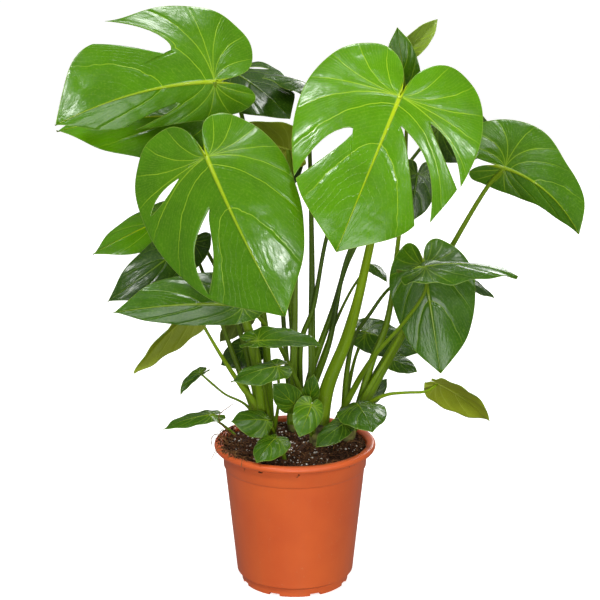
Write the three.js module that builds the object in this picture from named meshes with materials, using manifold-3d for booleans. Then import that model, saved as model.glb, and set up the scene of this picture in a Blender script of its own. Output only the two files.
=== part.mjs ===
// A young monstera of four stems in a plastic nursery pot, in millimetres, +Z up.
// The origin is the middle of the pot's underside, on the pad that the pot stands on.
import * as THREE from "three";
import { mergeVertices } from "three/addons/utils/BufferGeometryUtils.js";
import Module from "manifold-3d";

// ---- driving dimensions ----
const GAP = 0.3; // clearance between neighbouring pieces
const POT = {
  height: 172,
  lipRadius: 95, // widest, at the rolled lip
  collarRadius: 84, // just under the lip
  stepRadius: 82.5, // at the groove under the collar
  stepHeight: 143,
  shoulderRadius: 69, // where the wall turns in to the foot
  shoulderHeight: 14,
  footRadius: 63,
  floorRise: 4, // the floor is raised between the foot ring and the middle pad
  padRadius: 20,
  wall: 2,
  drains: 8,
  drainRadius: 5,
};
const SOIL = { top: 161, mound: 4, lumps: 1.6, bank: 5.5 }; // the soil banks up towards the back
const BLADE_THICKNESS = 1.2;
const RIB_DEPTH = 1.6; // how far the midrib stands out under the blade, at the joint
const JOINT_CLEARANCE = 0.5; // between a stalk's end and its blade
const JOINT_HOLLOW = 4; // radius cleared out of the stalk's end, where the lobes' edges meet
const HALF_WIDTH = 0.6; // of a blade, as a share of its length

// ---- blade outline: distance from joint to margin, as a share of the length, by angle from the midrib ----
const OUTLINE_ANGLES = [0, 5, 12, 25, 40, 60, 85, 110, 130, 150, 164, 173];
const OUTLINE_SHARES = [1, 0.945, 0.89, 0.82, 0.725, 0.63, 0.55, 0.48, 0.42, 0.32, 0.2, 0.06];
const VEIN_REACH = 70; // veins leave the midrib for margin angles below this, and the joint above it
const VEIN_CROWDING = 3.2; // how fast the veins' starts crowd towards the joint
const LOBES_FROM = 70; // margin angle from which a lobe's length counts, unless a leaf says another
const FINE = { angles: [0, 5, 12, 21, 31, 42, 55, 70, 86, 102, 117, 131, 144, 156, 173], shares: [0, 0.3, 0.65, 1] };
const MIDDLING = { angles: [0, 6, 16, 30, 48, 72, 100, 128, 152, 173], shares: [0, 0.35, 0.7, 1] };
const COARSE = { angles: [0, 12, 32, 60, 96, 132, 173], shares: [0, 0.5, 1] };

// ---- stems: the short trunks that the leaf stalks grow from ----
const STEMS = [
  { name: "stem_left", foot: [-28, 2, 128], top: [-34, 6, 192], girth: 22 },
  { name: "stem_back", foot: [2, 38, 128], top: [0, 44, 190], girth: 20 },
  { name: "stem_middle", foot: [26, 0, 128], top: [30, 0, 194], girth: 24 },
  { name: "stem_right", foot: [54, 18, 128], top: [64, 22, 192], girth: 22 },
];

// ---- leaves ----
// joint: where the stalk meets the blade. tip: where the blade ends. face: which way its upper side looks.
// droop: how far the midrib turns down from joint to tip, in degrees; sway: how far it turns to the left.
// fold: the tilt of the left and right half at the midrib. cup: how much more each half turns by its margin.
// spread: how wide each half is. lobes: how long the lobes beside the joint are, from the angle lobesFrom on.
// slits: side, margin angle, start and end between midrib and margin, half width, half mouth, and skew,
// which is below 1 where the slit is widest near its inner end.
// stalk: points that it passes on its way to the joint. girth: its thickness at its foot and at its joint.
// whole: blade and stalk are one piece, on the leaves that are small or mostly hidden.
const LEAVES = [
  { name: "top_left", joint: [-90, 10, 595], tip: [-265, -40, 555], face: [-0.1, -0.85, 0.5], grid: FINE,
    droop: 30, sway: 16, fold: [-30, 4], cup: [-20, -12], spread: [0.42, 0.97], lobes: [0.96, 0.97], wave: 0.012,
    slits: [["right", 38.5, 0.47, 1, 6.5, 6.5, 0.42], ["left", 38, 0.5, 1, 3.5, 4, 0.6]],
    stalk: [[-28, 12, 180], [-40, 18, 240], [-62, 24, 335], [-82, 24, 465], [-91, 17, 560]], girth: [13, 5] },
  { name: "front_left", joint: [-95, -95, 530], tip: [-10, -150, 365], face: [-0.3, -0.9, 0.3], grid: FINE,
    droop: 26, sway: 0, fold: [-30, -4], cup: [-26, -14], spread: [0.8, 0.95], lobes: [0.84, 1], wave: 0.01,
    slits: [["right", 27, 0.26, 0.975, 6.5, 0, 1.1], ["right", 73, 0.34, 0.86, 5.5, 0, 0.7]],
    stalk: [[-34, 0, 180], [-45, -8, 270], [-63, -10, 345], [-85, -34, 435], [-99, -68, 500]], girth: [15, 6] },
  { name: "front_middle", joint: [115, -60, 590], tip: [45, -120, 430], face: [0, -0.95, 0.3], grid: FINE,
    droop: 24, sway: 0, fold: [-4, -4], cup: [-16, -16], spread: [1, 1], lobes: [1.1, 1], wave: 0.008,
    slits: [["right", 30, 0.42, 1, 5.5, 0.6, 0.5], ["left", 56, 0.38, 1, 5.5, 1.2, 0.6],
      ["left", 32, 0.15, 1, 6.5, 3.5, 0.6]],
    stalk: [[30, 0, 180], [38, 0, 235], [62, -2, 302], [84, -10, 402], [98, -16, 480], [112, -34, 555]],
    girth: [18, 7] },
  { name: "right", joint: [241, 30, 492], tip: [322, -20, 426], face: [-0.1, -0.75, 0.65], grid: FINE,
    droop: 24, sway: -42, fold: [16, -50], cup: [-20, -20], spread: [0.64, 0.37], lobes: [1.6, 1.3], wave: 0.012,
    slits: [], lobesFrom: 44,
    stalk: [[66, 22, 180], [97, 28, 240], [124, 36, 287], [147, 42, 328], [179, 45, 388], [225, 38, 472]],
    girth: [17, 5] },
  { name: "right_low", joint: [148, 0, 386], tip: [168, -25, 262], face: [0, -1, 0.15], grid: MIDDLING,
    droop: 20, sway: 0, fold: [-6, -10], cup: [-20, -20], spread: [0.8, 0.62], lobes: [0.75, 0.75], wave: 0.008,
    slits: [], stalk: [[64, 18, 185], [88, 18, 231], [114, 22, 276], [132, 22, 313], [145, 14, 351]],
    girth: [9, 4] },
  { name: "right_level", joint: [146, -50, 396], tip: [252, -40, 382], face: [0, 0.05, 1], grid: MIDDLING,
    droop: 34, sway: 0, fold: [0, -20], cup: [-30, -50], spread: [0.4, 0.5], lobes: [1, 1], wave: 0.02,
    slits: [], stalk: [[44, 4, 182], [69, -5, 237], [88, -25, 279], [127, -40, 332], [148, -46, 370]],
    girth: [9, 4] },
  { name: "right_hanging", joint: [167, 0, 242], tip: [230, 10, 193], face: [0.3, 0.8, 0.5], grid: MIDDLING,
    droop: 30, sway: 0, fold: [-10, -10], cup: [-30, -30], spread: [0.6, 0.6], lobes: [0.6, 0.6], wave: 0.01,
    slits: [], stalk: [[64, 16, 182], [84, 4, 214], [107, -2, 229], [130, -6, 233], [153, -7, 235]],
    girth: [7, 3], whole: true },
  { name: "right_rim", joint: [73, -28, 225], tip: [89, -72, 208], face: [0, -0.5, 0.85], grid: MIDDLING,
    droop: 40, sway: 0, fold: [-6, -6], cup: [-20, -20], spread: [1.1, 1], lobes: [1.1, 1.1], wave: 0.03,
    slits: [], stalk: [[56, 12, 182], [66, -8, 208]], girth: [7, 3.5], whole: true },
  { name: "right_inner", joint: [86, 100, 275], tip: [151, 100, 249], face: [0, -0.75, 0.65], grid: MIDDLING,
    droop: 34, sway: 0, fold: [-6, -6], cup: [-20, -20], spread: [0.6, 0.6], lobes: [1, 1], wave: 0.02,
    slits: [], stalk: [[58, 28, 182], [64, 62, 215], [74, 88, 250]], girth: [8, 3.5], whole: true },
  { name: "right_back", joint: [174, 88, 354], tip: [238, 75, 326], face: [0.2, -0.3, 0.9], grid: MIDDLING,
    droop: 34, sway: 0, fold: [-6, -6], cup: [-20, -20], spread: [0.45, 0.45], lobes: [1, 1], wave: 0.01,
    slits: [], stalk: [[58, 26, 182], [62, 48, 240], [71, 58, 282], [88, 66, 306], [118, 76, 341]],
    girth: [8, 3.5], whole: true },
  { name: "right_small", joint: [117, 60, 252], tip: [146, 52, 240], face: [0.1, -0.7, 0.7], grid: COARSE,
    droop: 34, sway: 0, fold: [-6, -6], cup: [-20, -20], spread: [0.7, 0.7], lobes: [1, 1], wave: 0.01,
    slits: [], stalk: [[68, 28, 184], [92, 54, 228]], girth: [6, 3], whole: true },
  { name: "right_tiny", joint: [93, 50, 209], tip: [110, 54, 231], face: [0, -1, 0.2], grid: COARSE,
    droop: 20, sway: 0, fold: [-6, -6], cup: [-20, -20], spread: [0.6, 0.6], lobes: [1, 1], wave: 0.01,
    slits: [], stalk: [[68, 30, 182], [82, 44, 196]], girth: [5, 3], whole: true },
  { name: "back_small", joint: [88, 55, 372], tip: [107, 20, 360], face: [0.1, -0.6, 0.8], grid: COARSE,
    droop: 50, sway: 0, fold: [-20, -20], cup: [-30, -30], spread: [0.4, 0.4], lobes: [1, 1], wave: 0.01,
    slits: [], stalk: [[10, 44, 182], [38, 66, 270], [66, 68, 335]], girth: [7, 3], whole: true },
  { name: "back_top", joint: [-75, 120, 590], tip: [-5, 60, 545], face: [0, -0.5, 0.85], grid: MIDDLING,
    droop: 30, sway: 0, fold: [-6, -6], cup: [-20, -20], spread: [0.9, 0.8], lobes: [0.6, 0.6], wave: 0.01,
    slits: [["left", 60, 0.35, 0.8, 7, 0, 0.6]],
    stalk: [[0, 44, 178], [-6, 84, 320], [-45, 118, 460]], girth: [12, 5] },
  { name: "back_folded", joint: [15, 95, 579], tip: [-37, 50, 593], face: [0, -0.5, 0.85], grid: MIDDLING,
    droop: 30, sway: 0, fold: [-10, -20], cup: [-20, -20], spread: [0.6, 0.6], lobes: [1, 1], wave: 0.01,
    slits: [], stalk: [[6, 44, 180], [19, 48, 225], [20, 62, 290], [20, 76, 380], [18, 98, 480]],
    girth: [12, 4.5] },
  { name: "back_pale", joint: [-8, 66, 507], tip: [-90, 38, 529], face: [0, 0.95, 0.3], grid: MIDDLING,
    droop: 26, sway: 0, fold: [-10, -10], cup: [-20, -20], spread: [0.78, 0.45], lobes: [1, 1], wave: 0.01,
    slits: [], stalk: [[-4, 36, 180], [0, 50, 330], [0, 62, 440]], girth: [12, 5] },
  { name: "back_dark", joint: [-12, 100, 500], tip: [-17, 80, 449], face: [0, -0.9, 0.3], grid: COARSE,
    droop: 20, sway: 0, fold: [-6, -6], cup: [-20, -20], spread: [0.8, 0.8], lobes: [1, 1], wave: 0.01,
    slits: [], stalk: [[-4, 46, 180], [-16, 76, 340], [-16, 100, 450]], girth: [8, 4], whole: true },
  { name: "left_wide", joint: [-90, 75, 541], tip: [-271, 20, 538], face: [-0.1, -0.6, 0.8], grid: MIDDLING,
    droop: 30, sway: 0, fold: [-14, 0], cup: [-20, -20], spread: [0.55, 0.4], lobes: [0.3, 0.3], wave: 0.01,
    slits: [], stalk: [[-30, 16, 182], [-40, 48, 330], [-78, 72, 470]], girth: [11, 5] },
  { name: "left_upper", joint: [-137, 70, 431], tip: [-235, 32, 390], face: [-0.2, -0.6, 0.75], grid: MIDDLING,
    droop: 30, sway: -20, fold: [-10, 0], cup: [-20, -20], spread: [0.5, 0.45], lobes: [0.7, 0.7], wave: 0.01,
    slits: [], stalk: [[-38, 12, 182], [-60, 32, 280], [-98, 62, 375]], girth: [9, 4] },
  { name: "left_middle", joint: [-121, 25, 408], tip: [-215, -15, 346], face: [-0.2, -0.8, 0.55], grid: MIDDLING,
    droop: 30, sway: -20, fold: [-10, 0], cup: [-20, -20], spread: [0.45, 0.45], lobes: [0.7, 0.7], wave: 0.01,
    slits: [], stalk: [[-40, 8, 182], [-74, 22, 275], [-100, 27, 350]], girth: [9, 4] },
  { name: "left_lower", joint: [-58, -52, 352], tip: [-203, -68, 348], face: [-0.1, -0.75, 0.65], grid: MIDDLING,
    droop: 30, sway: 0, fold: [-30, 0], cup: [-20, -20], spread: [0.3, 0.52], lobes: [0.6, 0.6], wave: 0.01,
    slits: [], stalk: [[22, 4, 180], [8, 6, 225], [-6, 4, 262], [-24, -4, 300], [-46, -28, 336]],
    girth: [8, 4] },
  { name: "left_hanging", joint: [-115, 0, 330], tip: [-186, -25, 263], face: [-0.2, 0.6, 0.75], grid: MIDDLING,
    droop: 26, sway: 0, fold: [-10, -60], cup: [-20, -20], spread: [0.36, 0.4], lobes: [1, 1], wave: 0.01,
    slits: [], stalk: [[-40, 4, 184], [-47, 6, 214], [-64, 4, 240], [-89, 0, 282]], girth: [10, 3.5] },
  { name: "left_grey", joint: [-61, 76, 304], tip: [-90, 64, 274], face: [0.2, 0.7, 0.6], grid: COARSE,
    droop: 26, sway: 0, fold: [-10, -10], cup: [-20, -20], spread: [0.7, 0.7], lobes: [1, 1], wave: 0.01,
    slits: [], stalk: [[-34, 12, 184], [-50, 60, 245]], girth: [6, 3], whole: true },
  { name: "left_back", joint: [-50, 46, 275], tip: [-88, 38, 253], face: [-0.1, -0.7, 0.7], grid: COARSE,
    droop: 26, sway: 0, fold: [-10, -10], cup: [-20, -20], spread: [0.9, 0.9], lobes: [1, 1], wave: 0.01,
    slits: [], stalk: [[-30, 14, 184], [-38, 46, 230]], girth: [6, 3], whole: true },
  { name: "left_small", joint: [-110, 15, 249], tip: [-134, 0, 228], face: [-0.6, -0.5, 0.6], grid: COARSE,
    droop: 30, sway: 0, fold: [30, 30], cup: [-20, -20], spread: [0.5, 0.5], lobes: [1, 1], wave: 0.01,
    slits: [], stalk: [[-40, 8, 184], [-58, 12, 212], [-82, 15, 224], [-95, 15, 235]], girth: [4, 2.5],
    whole: true },
  { name: "left_rim", joint: [-100, 25, 195], tip: [-155, 5, 184], face: [0, -0.3, 0.95], grid: COARSE,
    droop: 26, sway: 0, fold: [-6, -6], cup: [-20, -20], spread: [0.4, 0.4], lobes: [1, 1], wave: 0.01,
    slits: [], stalk: [[-66, 26, 150], [-72, 27, 170], [-84, 28, 180], [-94, 27, 188]], girth: [4, 2.5],
    whole: true },
  { name: "notch", joint: [125, 20, 585], tip: [115, 20, 655], face: [0, -1, 0.1], grid: MIDDLING,
    droop: 16, sway: 0, fold: [10, 10], cup: [-10, -10], spread: [0.5, 0.5], lobes: [1, 1], wave: 0.01,
    slits: [], stalk: [[70, 26, 182], [92, 30, 262], [108, 36, 304], [118, 40, 380], [127, 46, 480], [128, 44, 562]],
    girth: [10, 4] },
  { name: "new_rolled", joint: [127, 60, 624], tip: [163, 60, 659], face: [0.2, -1, 0.1], grid: MIDDLING,
    droop: -16, sway: 0, fold: [40, 40], cup: [30, 30], spread: [0.7, 0.7], lobes: [0.6, 0.6], wave: 0,
    slits: [], stalk: [[8, 46, 180], [8, 55, 278], [21, 60, 314], [36, 68, 395], [56, 72, 466], [102, 68, 562]],
    girth: [7, 4], whole: true },
  { name: "behind_middle", joint: [143, 60, 479], tip: [134, 50, 423], face: [0, -1, 0.1], grid: COARSE,
    droop: 20, sway: 0, fold: [-6, -6], cup: [-20, -20], spread: [0.8, 0.8], lobes: [1, 1], wave: 0.01,
    slits: [], stalk: [[8, 42, 180], [22, 42, 224], [40, 50, 274], [66, 62, 390], [110, 72, 450]],
    girth: [9, 4], whole: true },
  { name: "behind_right", joint: [172, 118, 527], tip: [238, 104, 502], face: [0, -0.9, 0.4], grid: MIDDLING,
    droop: 20, sway: 0, fold: [-6, -6], cup: [-20, -20], spread: [1, 1], lobes: [1, 1], wave: 0.01,
    slits: [], stalk: [[8, 46, 182], [20, 52, 240], [44, 62, 310], [64, 76, 372], [120, 102, 462]],
    girth: [9, 4], whole: true },
  { name: "inner_edge", joint: [-42, -30, 303], tip: [31, -38, 299], face: [0, -0.15, 1], grid: COARSE,
    droop: 20, sway: 0, fold: [40, -10], cup: [-20, -20], spread: [0.42, 0.3], lobes: [1, 1], wave: 0.01,
    slits: [], stalk: [[-28, -4, 186], [-34, -22, 235], [-43, -29, 285]], girth: [5, 3], whole: true },
  { name: "inner_wavy", joint: [-20, -44, 277], tip: [-73, -58, 264], face: [0, -0.5, 0.85], grid: COARSE,
    droop: 30, sway: 0, fold: [-10, -10], cup: [-20, -20], spread: [0.6, 0.45], lobes: [1, 1], wave: 0.04,
    slits: [], stalk: [[-24, -6, 186], [-18, -34, 240]], girth: [5, 3], whole: true },
  { name: "inner_low", joint: [0, -32, 227], tip: [-25, -48, 257], face: [-0.2, -0.8, 0.5], grid: COARSE,
    droop: 30, sway: 0, fold: [-10, -10], cup: [-20, -20], spread: [0.7, 0.7], lobes: [1, 1], wave: 0.02,
    slits: [], stalk: [[20, -6, 180], [8, -22, 206]], girth: [5, 3], whole: true },
  { name: "inner_tiny", joint: [17, -20, 229], tip: [22, -28, 262], face: [0, -0.9, 0.4], grid: COARSE,
    droop: 20, sway: 0, fold: [-10, -10], cup: [-20, -20], spread: [0.55, 0.55], lobes: [0.5, 0.5], wave: 0.02,
    slits: [], stalk: [[24, -6, 182], [19, -18, 206]], girth: [5, 3], whole: true },
  { name: "soil_left", joint: [-32, -32, 208], tip: [-73, -50, 213], face: [0, -0.7, 0.7], grid: COARSE,
    droop: 30, sway: 0, fold: [-20, -20], cup: [-20, -20], spread: [0.85, 0.85], lobes: [0.6, 0.6], wave: 0.03,
    slits: [], stalk: [[-22, -16, 150], [-24, -24, 190]], girth: [5, 3], whole: true },
  { name: "front_rim", joint: [-22, -52, 193], tip: [-43, -90, 177], face: [-0.3, -0.8, 0.5], grid: COARSE,
    droop: 30, sway: 0, fold: [-10, -10], cup: [-20, -20], spread: [0.8, 0.7], lobes: [1, 1], wave: 0.01,
    slits: [], stalk: [[-10, -46, 150], [-14, -48, 176]], girth: [6, 4], whole: true },
  { name: "front_light", joint: [19, -40, 229], tip: [5, -62, 198], face: [0.2, -0.8, 0.5], grid: COARSE,
    droop: 30, sway: 0, fold: [-10, -10], cup: [-20, -20], spread: [0.8, 0.8], lobes: [1, 1], wave: 0.01,
    slits: [], stalk: [[22, -8, 184], [21, -28, 214]], girth: [5, 3], whole: true },
  { name: "front_dark", joint: [56, -34, 204], tip: [24, -60, 185], face: [-0.1, -0.6, 0.8], grid: COARSE,
    droop: 30, sway: 0, fold: [-10, -10], cup: [-20, -20], spread: [0.6, 0.6], lobes: [1, 1], wave: 0.02,
    slits: [], stalk: [[36, -8, 180], [50, -24, 196]], girth: [5, 3], whole: true },
];

const GREEN = new THREE.MeshStandardMaterial({ color: 0x4f9410, roughness: 0.35, metalness: 0 });
const STALK_GREEN = new THREE.MeshStandardMaterial({ color: 0x7da32b, roughness: 0.5, metalness: 0 });
const STEM_BROWN = new THREE.MeshStandardMaterial({ color: 0x5c5a2a, roughness: 0.8, metalness: 0 });
const TERRACOTTA = new THREE.MeshStandardMaterial({ color: 0xc8562a, roughness: 0.45, metalness: 0 });
const SOIL_BROWN = new THREE.MeshStandardMaterial({ color: 0x3a241a, roughness: 1, metalness: 0 });

const wasm = await Module();
wasm.setup();
const plant = new THREE.Group();
plant.name = "potted_monstera";

const radians = THREE.MathUtils.degToRad;
const vector = (point) => new THREE.Vector3(...point);

// ---- solids and meshes ----
function solidFrom(vertices, triangles) {
  return new wasm.Manifold(new wasm.Mesh({
    numProp: 3,
    vertProperties: Float32Array.from(vertices.flatMap((p) => [p.x, p.y, p.z])),
    triVerts: Uint32Array.from(triangles.flat()),
  }));
}

function solidOf(geometry) {
  geometry.deleteAttribute("normal");
  geometry.deleteAttribute("uv");
  const merged = mergeVertices(geometry, 1e-4);
  return new wasm.Manifold(new wasm.Mesh({
    numProp: 3,
    vertProperties: merged.attributes.position.array,
    triVerts: new Uint32Array(merged.index.array),
  }));
}

function addPiece(name, solid, material) {
  const mesh = solid.getMesh();
  const geometry = new THREE.BufferGeometry();
  geometry.setAttribute("position", new THREE.BufferAttribute(mesh.vertProperties, 3));
  geometry.setIndex(new THREE.BufferAttribute(mesh.triVerts, 1));
  geometry.computeVertexNormals();
  const piece = new THREE.Mesh(geometry, material);
  piece.name = name;
  plant.add(piece);
}

function largestPart(solid) {
  return solid.decompose().reduce((best, part) => (part.volume() > best.volume() ? part : best));
}

// A tube through points whose radius follows a function of the share of its length.
function loftAlong(points, radiusAt, sides, stepLength) {
  const path = new THREE.CatmullRomCurve3(points.map(vector), false, "centripetal");
  const steps = Math.max(3, Math.round(path.getLength() / stepLength));
  const frames = path.computeFrenetFrames(steps, false);
  const vertices = [];
  const triangles = [];
  for (let i = 0; i <= steps; i += 1) {
    const centre = path.getPointAt(i / steps);
    for (let k = 0; k < sides; k += 1) {
      const turn = (2 * Math.PI * k) / sides;
      const spoke = frames.normals[i].clone().multiplyScalar(Math.cos(turn));
      spoke.addScaledVector(frames.binormals[i], Math.sin(turn));
      vertices.push(centre.clone().addScaledVector(spoke, radiusAt(i / steps)));
    }
  }
  for (let i = 0; i < steps; i += 1) {
    for (let k = 0; k < sides; k += 1) {
      const here = i * sides + k;
      const beside = i * sides + ((k + 1) % sides);
      triangles.push([here, beside, beside + sides], [here, beside + sides, here + sides]);
    }
  }
  const last = steps * sides;
  vertices.push(path.getPointAt(0), path.getPointAt(1));
  for (let k = 0; k < sides; k += 1) {
    const beside = (k + 1) % sides;
    triangles.push([beside, k, last + sides], [last + k, last + beside, last + sides + 1]);
  }
  return solidFrom(vertices, triangles);
}

// ---- leaf blade ----
// A smooth curve through the outline's points.
function outlineShare(angle) {
  const last = OUTLINE_ANGLES.length - 1;
  let i = 0;
  while (i < last - 1 && angle > OUTLINE_ANGLES[i + 1]) i += 1;
  const slope = (k) => {
    const before = Math.max(0, k - 1);
    const after = Math.min(last, k + 1);
    return (OUTLINE_SHARES[after] - OUTLINE_SHARES[before]) / (OUTLINE_ANGLES[after] - OUTLINE_ANGLES[before]);
  };
  const width = OUTLINE_ANGLES[i + 1] - OUTLINE_ANGLES[i];
  const t = (angle - OUTLINE_ANGLES[i]) / width;
  return OUTLINE_SHARES[i] * (2 * t ** 3 - 3 * t ** 2 + 1)
    + OUTLINE_SHARES[i + 1] * (3 * t ** 2 - 2 * t ** 3)
    + slope(i) * width * (t ** 3 - 2 * t ** 2 + t)
    + slope(i + 1) * width * (t ** 3 - t ** 2);
}

// Half the opening of a slit, in degrees, at a share of the way from midrib to margin.
function slitOpening([, , from, to, half, mouth, skew], share) {
  const along = (share - from) / (to - from);
  if (along <= 0 || along > 1) return 0;
  return half * Math.sin(Math.PI * along ** skew) + mouth * along;
}

// A point of the flattened blade of unit length, on the side vein that ends at a column's angle.
// The slits push the veins beside them apart.
function flatPoint(leaf, side, column, share) {
  let angle = column.angle;
  for (const slit of leaf.slits) {
    if (slit[0] !== side) continue;
    const reach = 3 * slit[4];
    const away = column.angle - slit[1];
    const lip = column.slit === slit ? column.lip : Math.sign(away);
    if (Math.abs(away) < reach) angle += lip * slitOpening(slit, share) * (1 - Math.abs(away) / reach) ** 2;
  }
  const hand = side === "left" ? 0 : 1;
  const lobesFrom = leaf.lobesFrom ?? LOBES_FROM;
  const grown = THREE.MathUtils.smoothstep(column.angle, lobesFrom, lobesFrom + 60);
  const lobe = 1 + (leaf.lobes[hand] - 1) * grown;
  const radius = outlineShare(column.angle) * lobe;
  const end = new THREE.Vector2(
    radius * Math.cos(radians(angle)),
    radius * Math.sin(radians(angle)) * leaf.spread[hand],
  );
  const start = new THREE.Vector2(Math.max(0, 1 - column.angle / VEIN_REACH) ** VEIN_CROWDING, 0);
  const bow = new THREE.Vector2(start.x + 0.12 * (end.x - start.x), 0.6 * end.y);
  return new THREE.QuadraticBezierCurve(start, bow, end).getPoint(share);
}

// The same point with the blade bent across, drooping along its midrib and swaying to one side.
function bentPoint(leaf, side, column, share) {
  const flat = flatPoint(leaf, side, column, share);
  const hand = side === "left" ? 1 : -1;
  const fold = radians(leaf.fold[side === "left" ? 0 : 1]);
  const cup = radians(leaf.cup[side === "left" ? 0 : 1]);
  const turn = (cup * flat.y) / HALF_WIDTH;
  const out = (HALF_WIDTH / cup) * (Math.sin(fold + turn) - Math.sin(fold));
  const wave = leaf.wave * share ** 2 * Math.sin(radians(column.angle * 5) + hand);
  const rise = (HALF_WIDTH / cup) * (Math.cos(fold) - Math.cos(fold + turn)) + wave;
  const bend = radians(leaf.droop);
  const along = (1 / bend + rise) * Math.sin(flat.x * bend);
  const height = (1 / bend + rise) * Math.cos(flat.x * bend) - 1 / bend;
  const sway = radians(leaf.sway) || 1e-6;
  return new THREE.Vector3(
    (1 / sway - hand * out) * Math.sin(along * sway),
    1 / sway - (1 / sway - hand * out) * Math.cos(along * sway),
    height,
  );
}

// Axes with the first along a direction and the third as near as it can be to another.
function axesAlong(direction, upward) {
  const along = direction.clone().normalize();
  const up = upward.clone().addScaledVector(along, -upward.dot(along)).normalize();
  return new THREE.Matrix4().makeBasis(along, new THREE.Vector3().crossVectors(up, along), up);
}

// Puts the unit blade between its joint and its tip.
function bladeFrame(leaf) {
  const tip = bentPoint(leaf, "left", { angle: 0, lip: 0 }, 1);
  const reach = vector(leaf.tip).sub(vector(leaf.joint));
  const size = reach.length() / tip.length();
  const frame = axesAlong(reach, vector(leaf.face));
  frame.multiply(axesAlong(tip, new THREE.Vector3(0, 0, 1)).transpose());
  frame.scale(new THREE.Vector3(size, size, size));
  return frame.setPosition(vector(leaf.joint));
}

// The side veins of one half as columns; a slit parts one column into two lips.
function bladeColumns(leaf, side) {
  const slits = leaf.slits.filter((slit) => slit[0] === side);
  const plain = leaf.grid.angles.filter((angle) => slits.every((slit) => Math.abs(slit[1] - angle) > 3));
  const columns = plain.map((angle) => ({ angle, lip: 0 }));
  for (const slit of slits) columns.push({ angle: slit[1], lip: -1, slit }, { angle: slit[1], lip: 1, slit });
  return columns.sort((a, b) => a.angle - b.angle || a.lip - b.lip);
}

// The blade's middle surface: welded vertices, triangles, and how deep the midrib is at each vertex.
function bladeSurface(leaf) {
  const frame = bladeFrame(leaf);
  const ends = leaf.slits.flatMap((slit) => [slit[2], slit[3]]);
  const plain = leaf.grid.shares.filter((share) => share === 1 || ends.every((end) => Math.abs(end - share) > 0.05));
  const shares = [...new Set([...plain, ...ends])].sort((a, b) => a - b);
  const vertices = [];
  const ribs = [];
  const triangles = [];
  const known = new Map();
  const indexOf = (point, rib) => {
    const key = point.toArray().map((n) => n.toFixed(3)).join();
    if (!known.has(key)) {
      known.set(key, vertices.length);
      vertices.push(point);
      ribs.push(0);
    }
    ribs[known.get(key)] = Math.max(ribs[known.get(key)], rib);
    return known.get(key);
  };
  for (const side of ["left", "right"]) {
    const columns = bladeColumns(leaf, side);
    const grid = columns.map((column) => shares.map((share) => {
      const point = bentPoint(leaf, side, column, share).applyMatrix4(frame);
      const reach = Math.min(1, column.angle / VEIN_REACH);
      return indexOf(point, share === 0 ? RIB_DEPTH * reach : 0);
    }));
    for (let i = 0; i + 1 < columns.length; i += 1) {
      if (columns[i].slit && columns[i].slit === columns[i + 1].slit) continue;
      for (let k = 0; k + 1 < shares.length; k += 1) {
        const corners = [grid[i][k], grid[i][k + 1], grid[i + 1][k + 1], grid[i + 1][k]];
        if (side === "right") corners.reverse();
        const halves = [[corners[0], corners[1], corners[2]], [corners[0], corners[2], corners[3]]];
        triangles.push(...halves.filter((t) => new Set(t).size === 3));
      }
    }
  }
  return { vertices, ribs, triangles };
}

function bladeSolid(leaf, grown) {
  const { vertices, ribs, triangles } = bladeSurface(leaf);
  const normals = vertices.map(() => new THREE.Vector3());
  const edges = new Map();
  for (const t of triangles) {
    const [a, b, c] = t.map((i) => vertices[i]);
    const normal = b.clone().sub(a).cross(c.clone().sub(a));
    for (const i of t) normals[i].add(normal);
    for (let k = 0; k < 3; k += 1) edges.set(`${t[k]} ${t[(k + 1) % 3]}`, [t[k], t[(k + 1) % 3]]);
  }
  const half = BLADE_THICKNESS / 2 + grown;
  const count = vertices.length;
  const upper = vertices.map((p, i) => p.clone().addScaledVector(normals[i].normalize(), half));
  const lower = vertices.map((p, i) => p.clone().addScaledVector(normals[i], -half - ribs[i]));
  const faces = triangles.flatMap(([a, b, c]) => [[a, b, c], [c + count, b + count, a + count]]);
  for (const [a, b] of edges.values()) {
    if (edges.has(`${b} ${a}`)) continue;
    faces.push([a + count, b + count, b], [a + count, b, a]);
  }
  return solidFrom([...upper, ...lower], faces);
}

// A stalk thickens into a sheath at its foot.
function stalkSolid(leaf, grown) {
  const [foot, top] = leaf.girth.map((girth) => girth / 2);
  const points = [...leaf.stalk, leaf.joint];
  const sides = leaf.girth[1] < 3.6 ? 6 : 8;
  return loftAlong(points, (share) => top + (foot - top) * (1 - share) ** 1.8 + grown, sides, 42);
}

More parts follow.
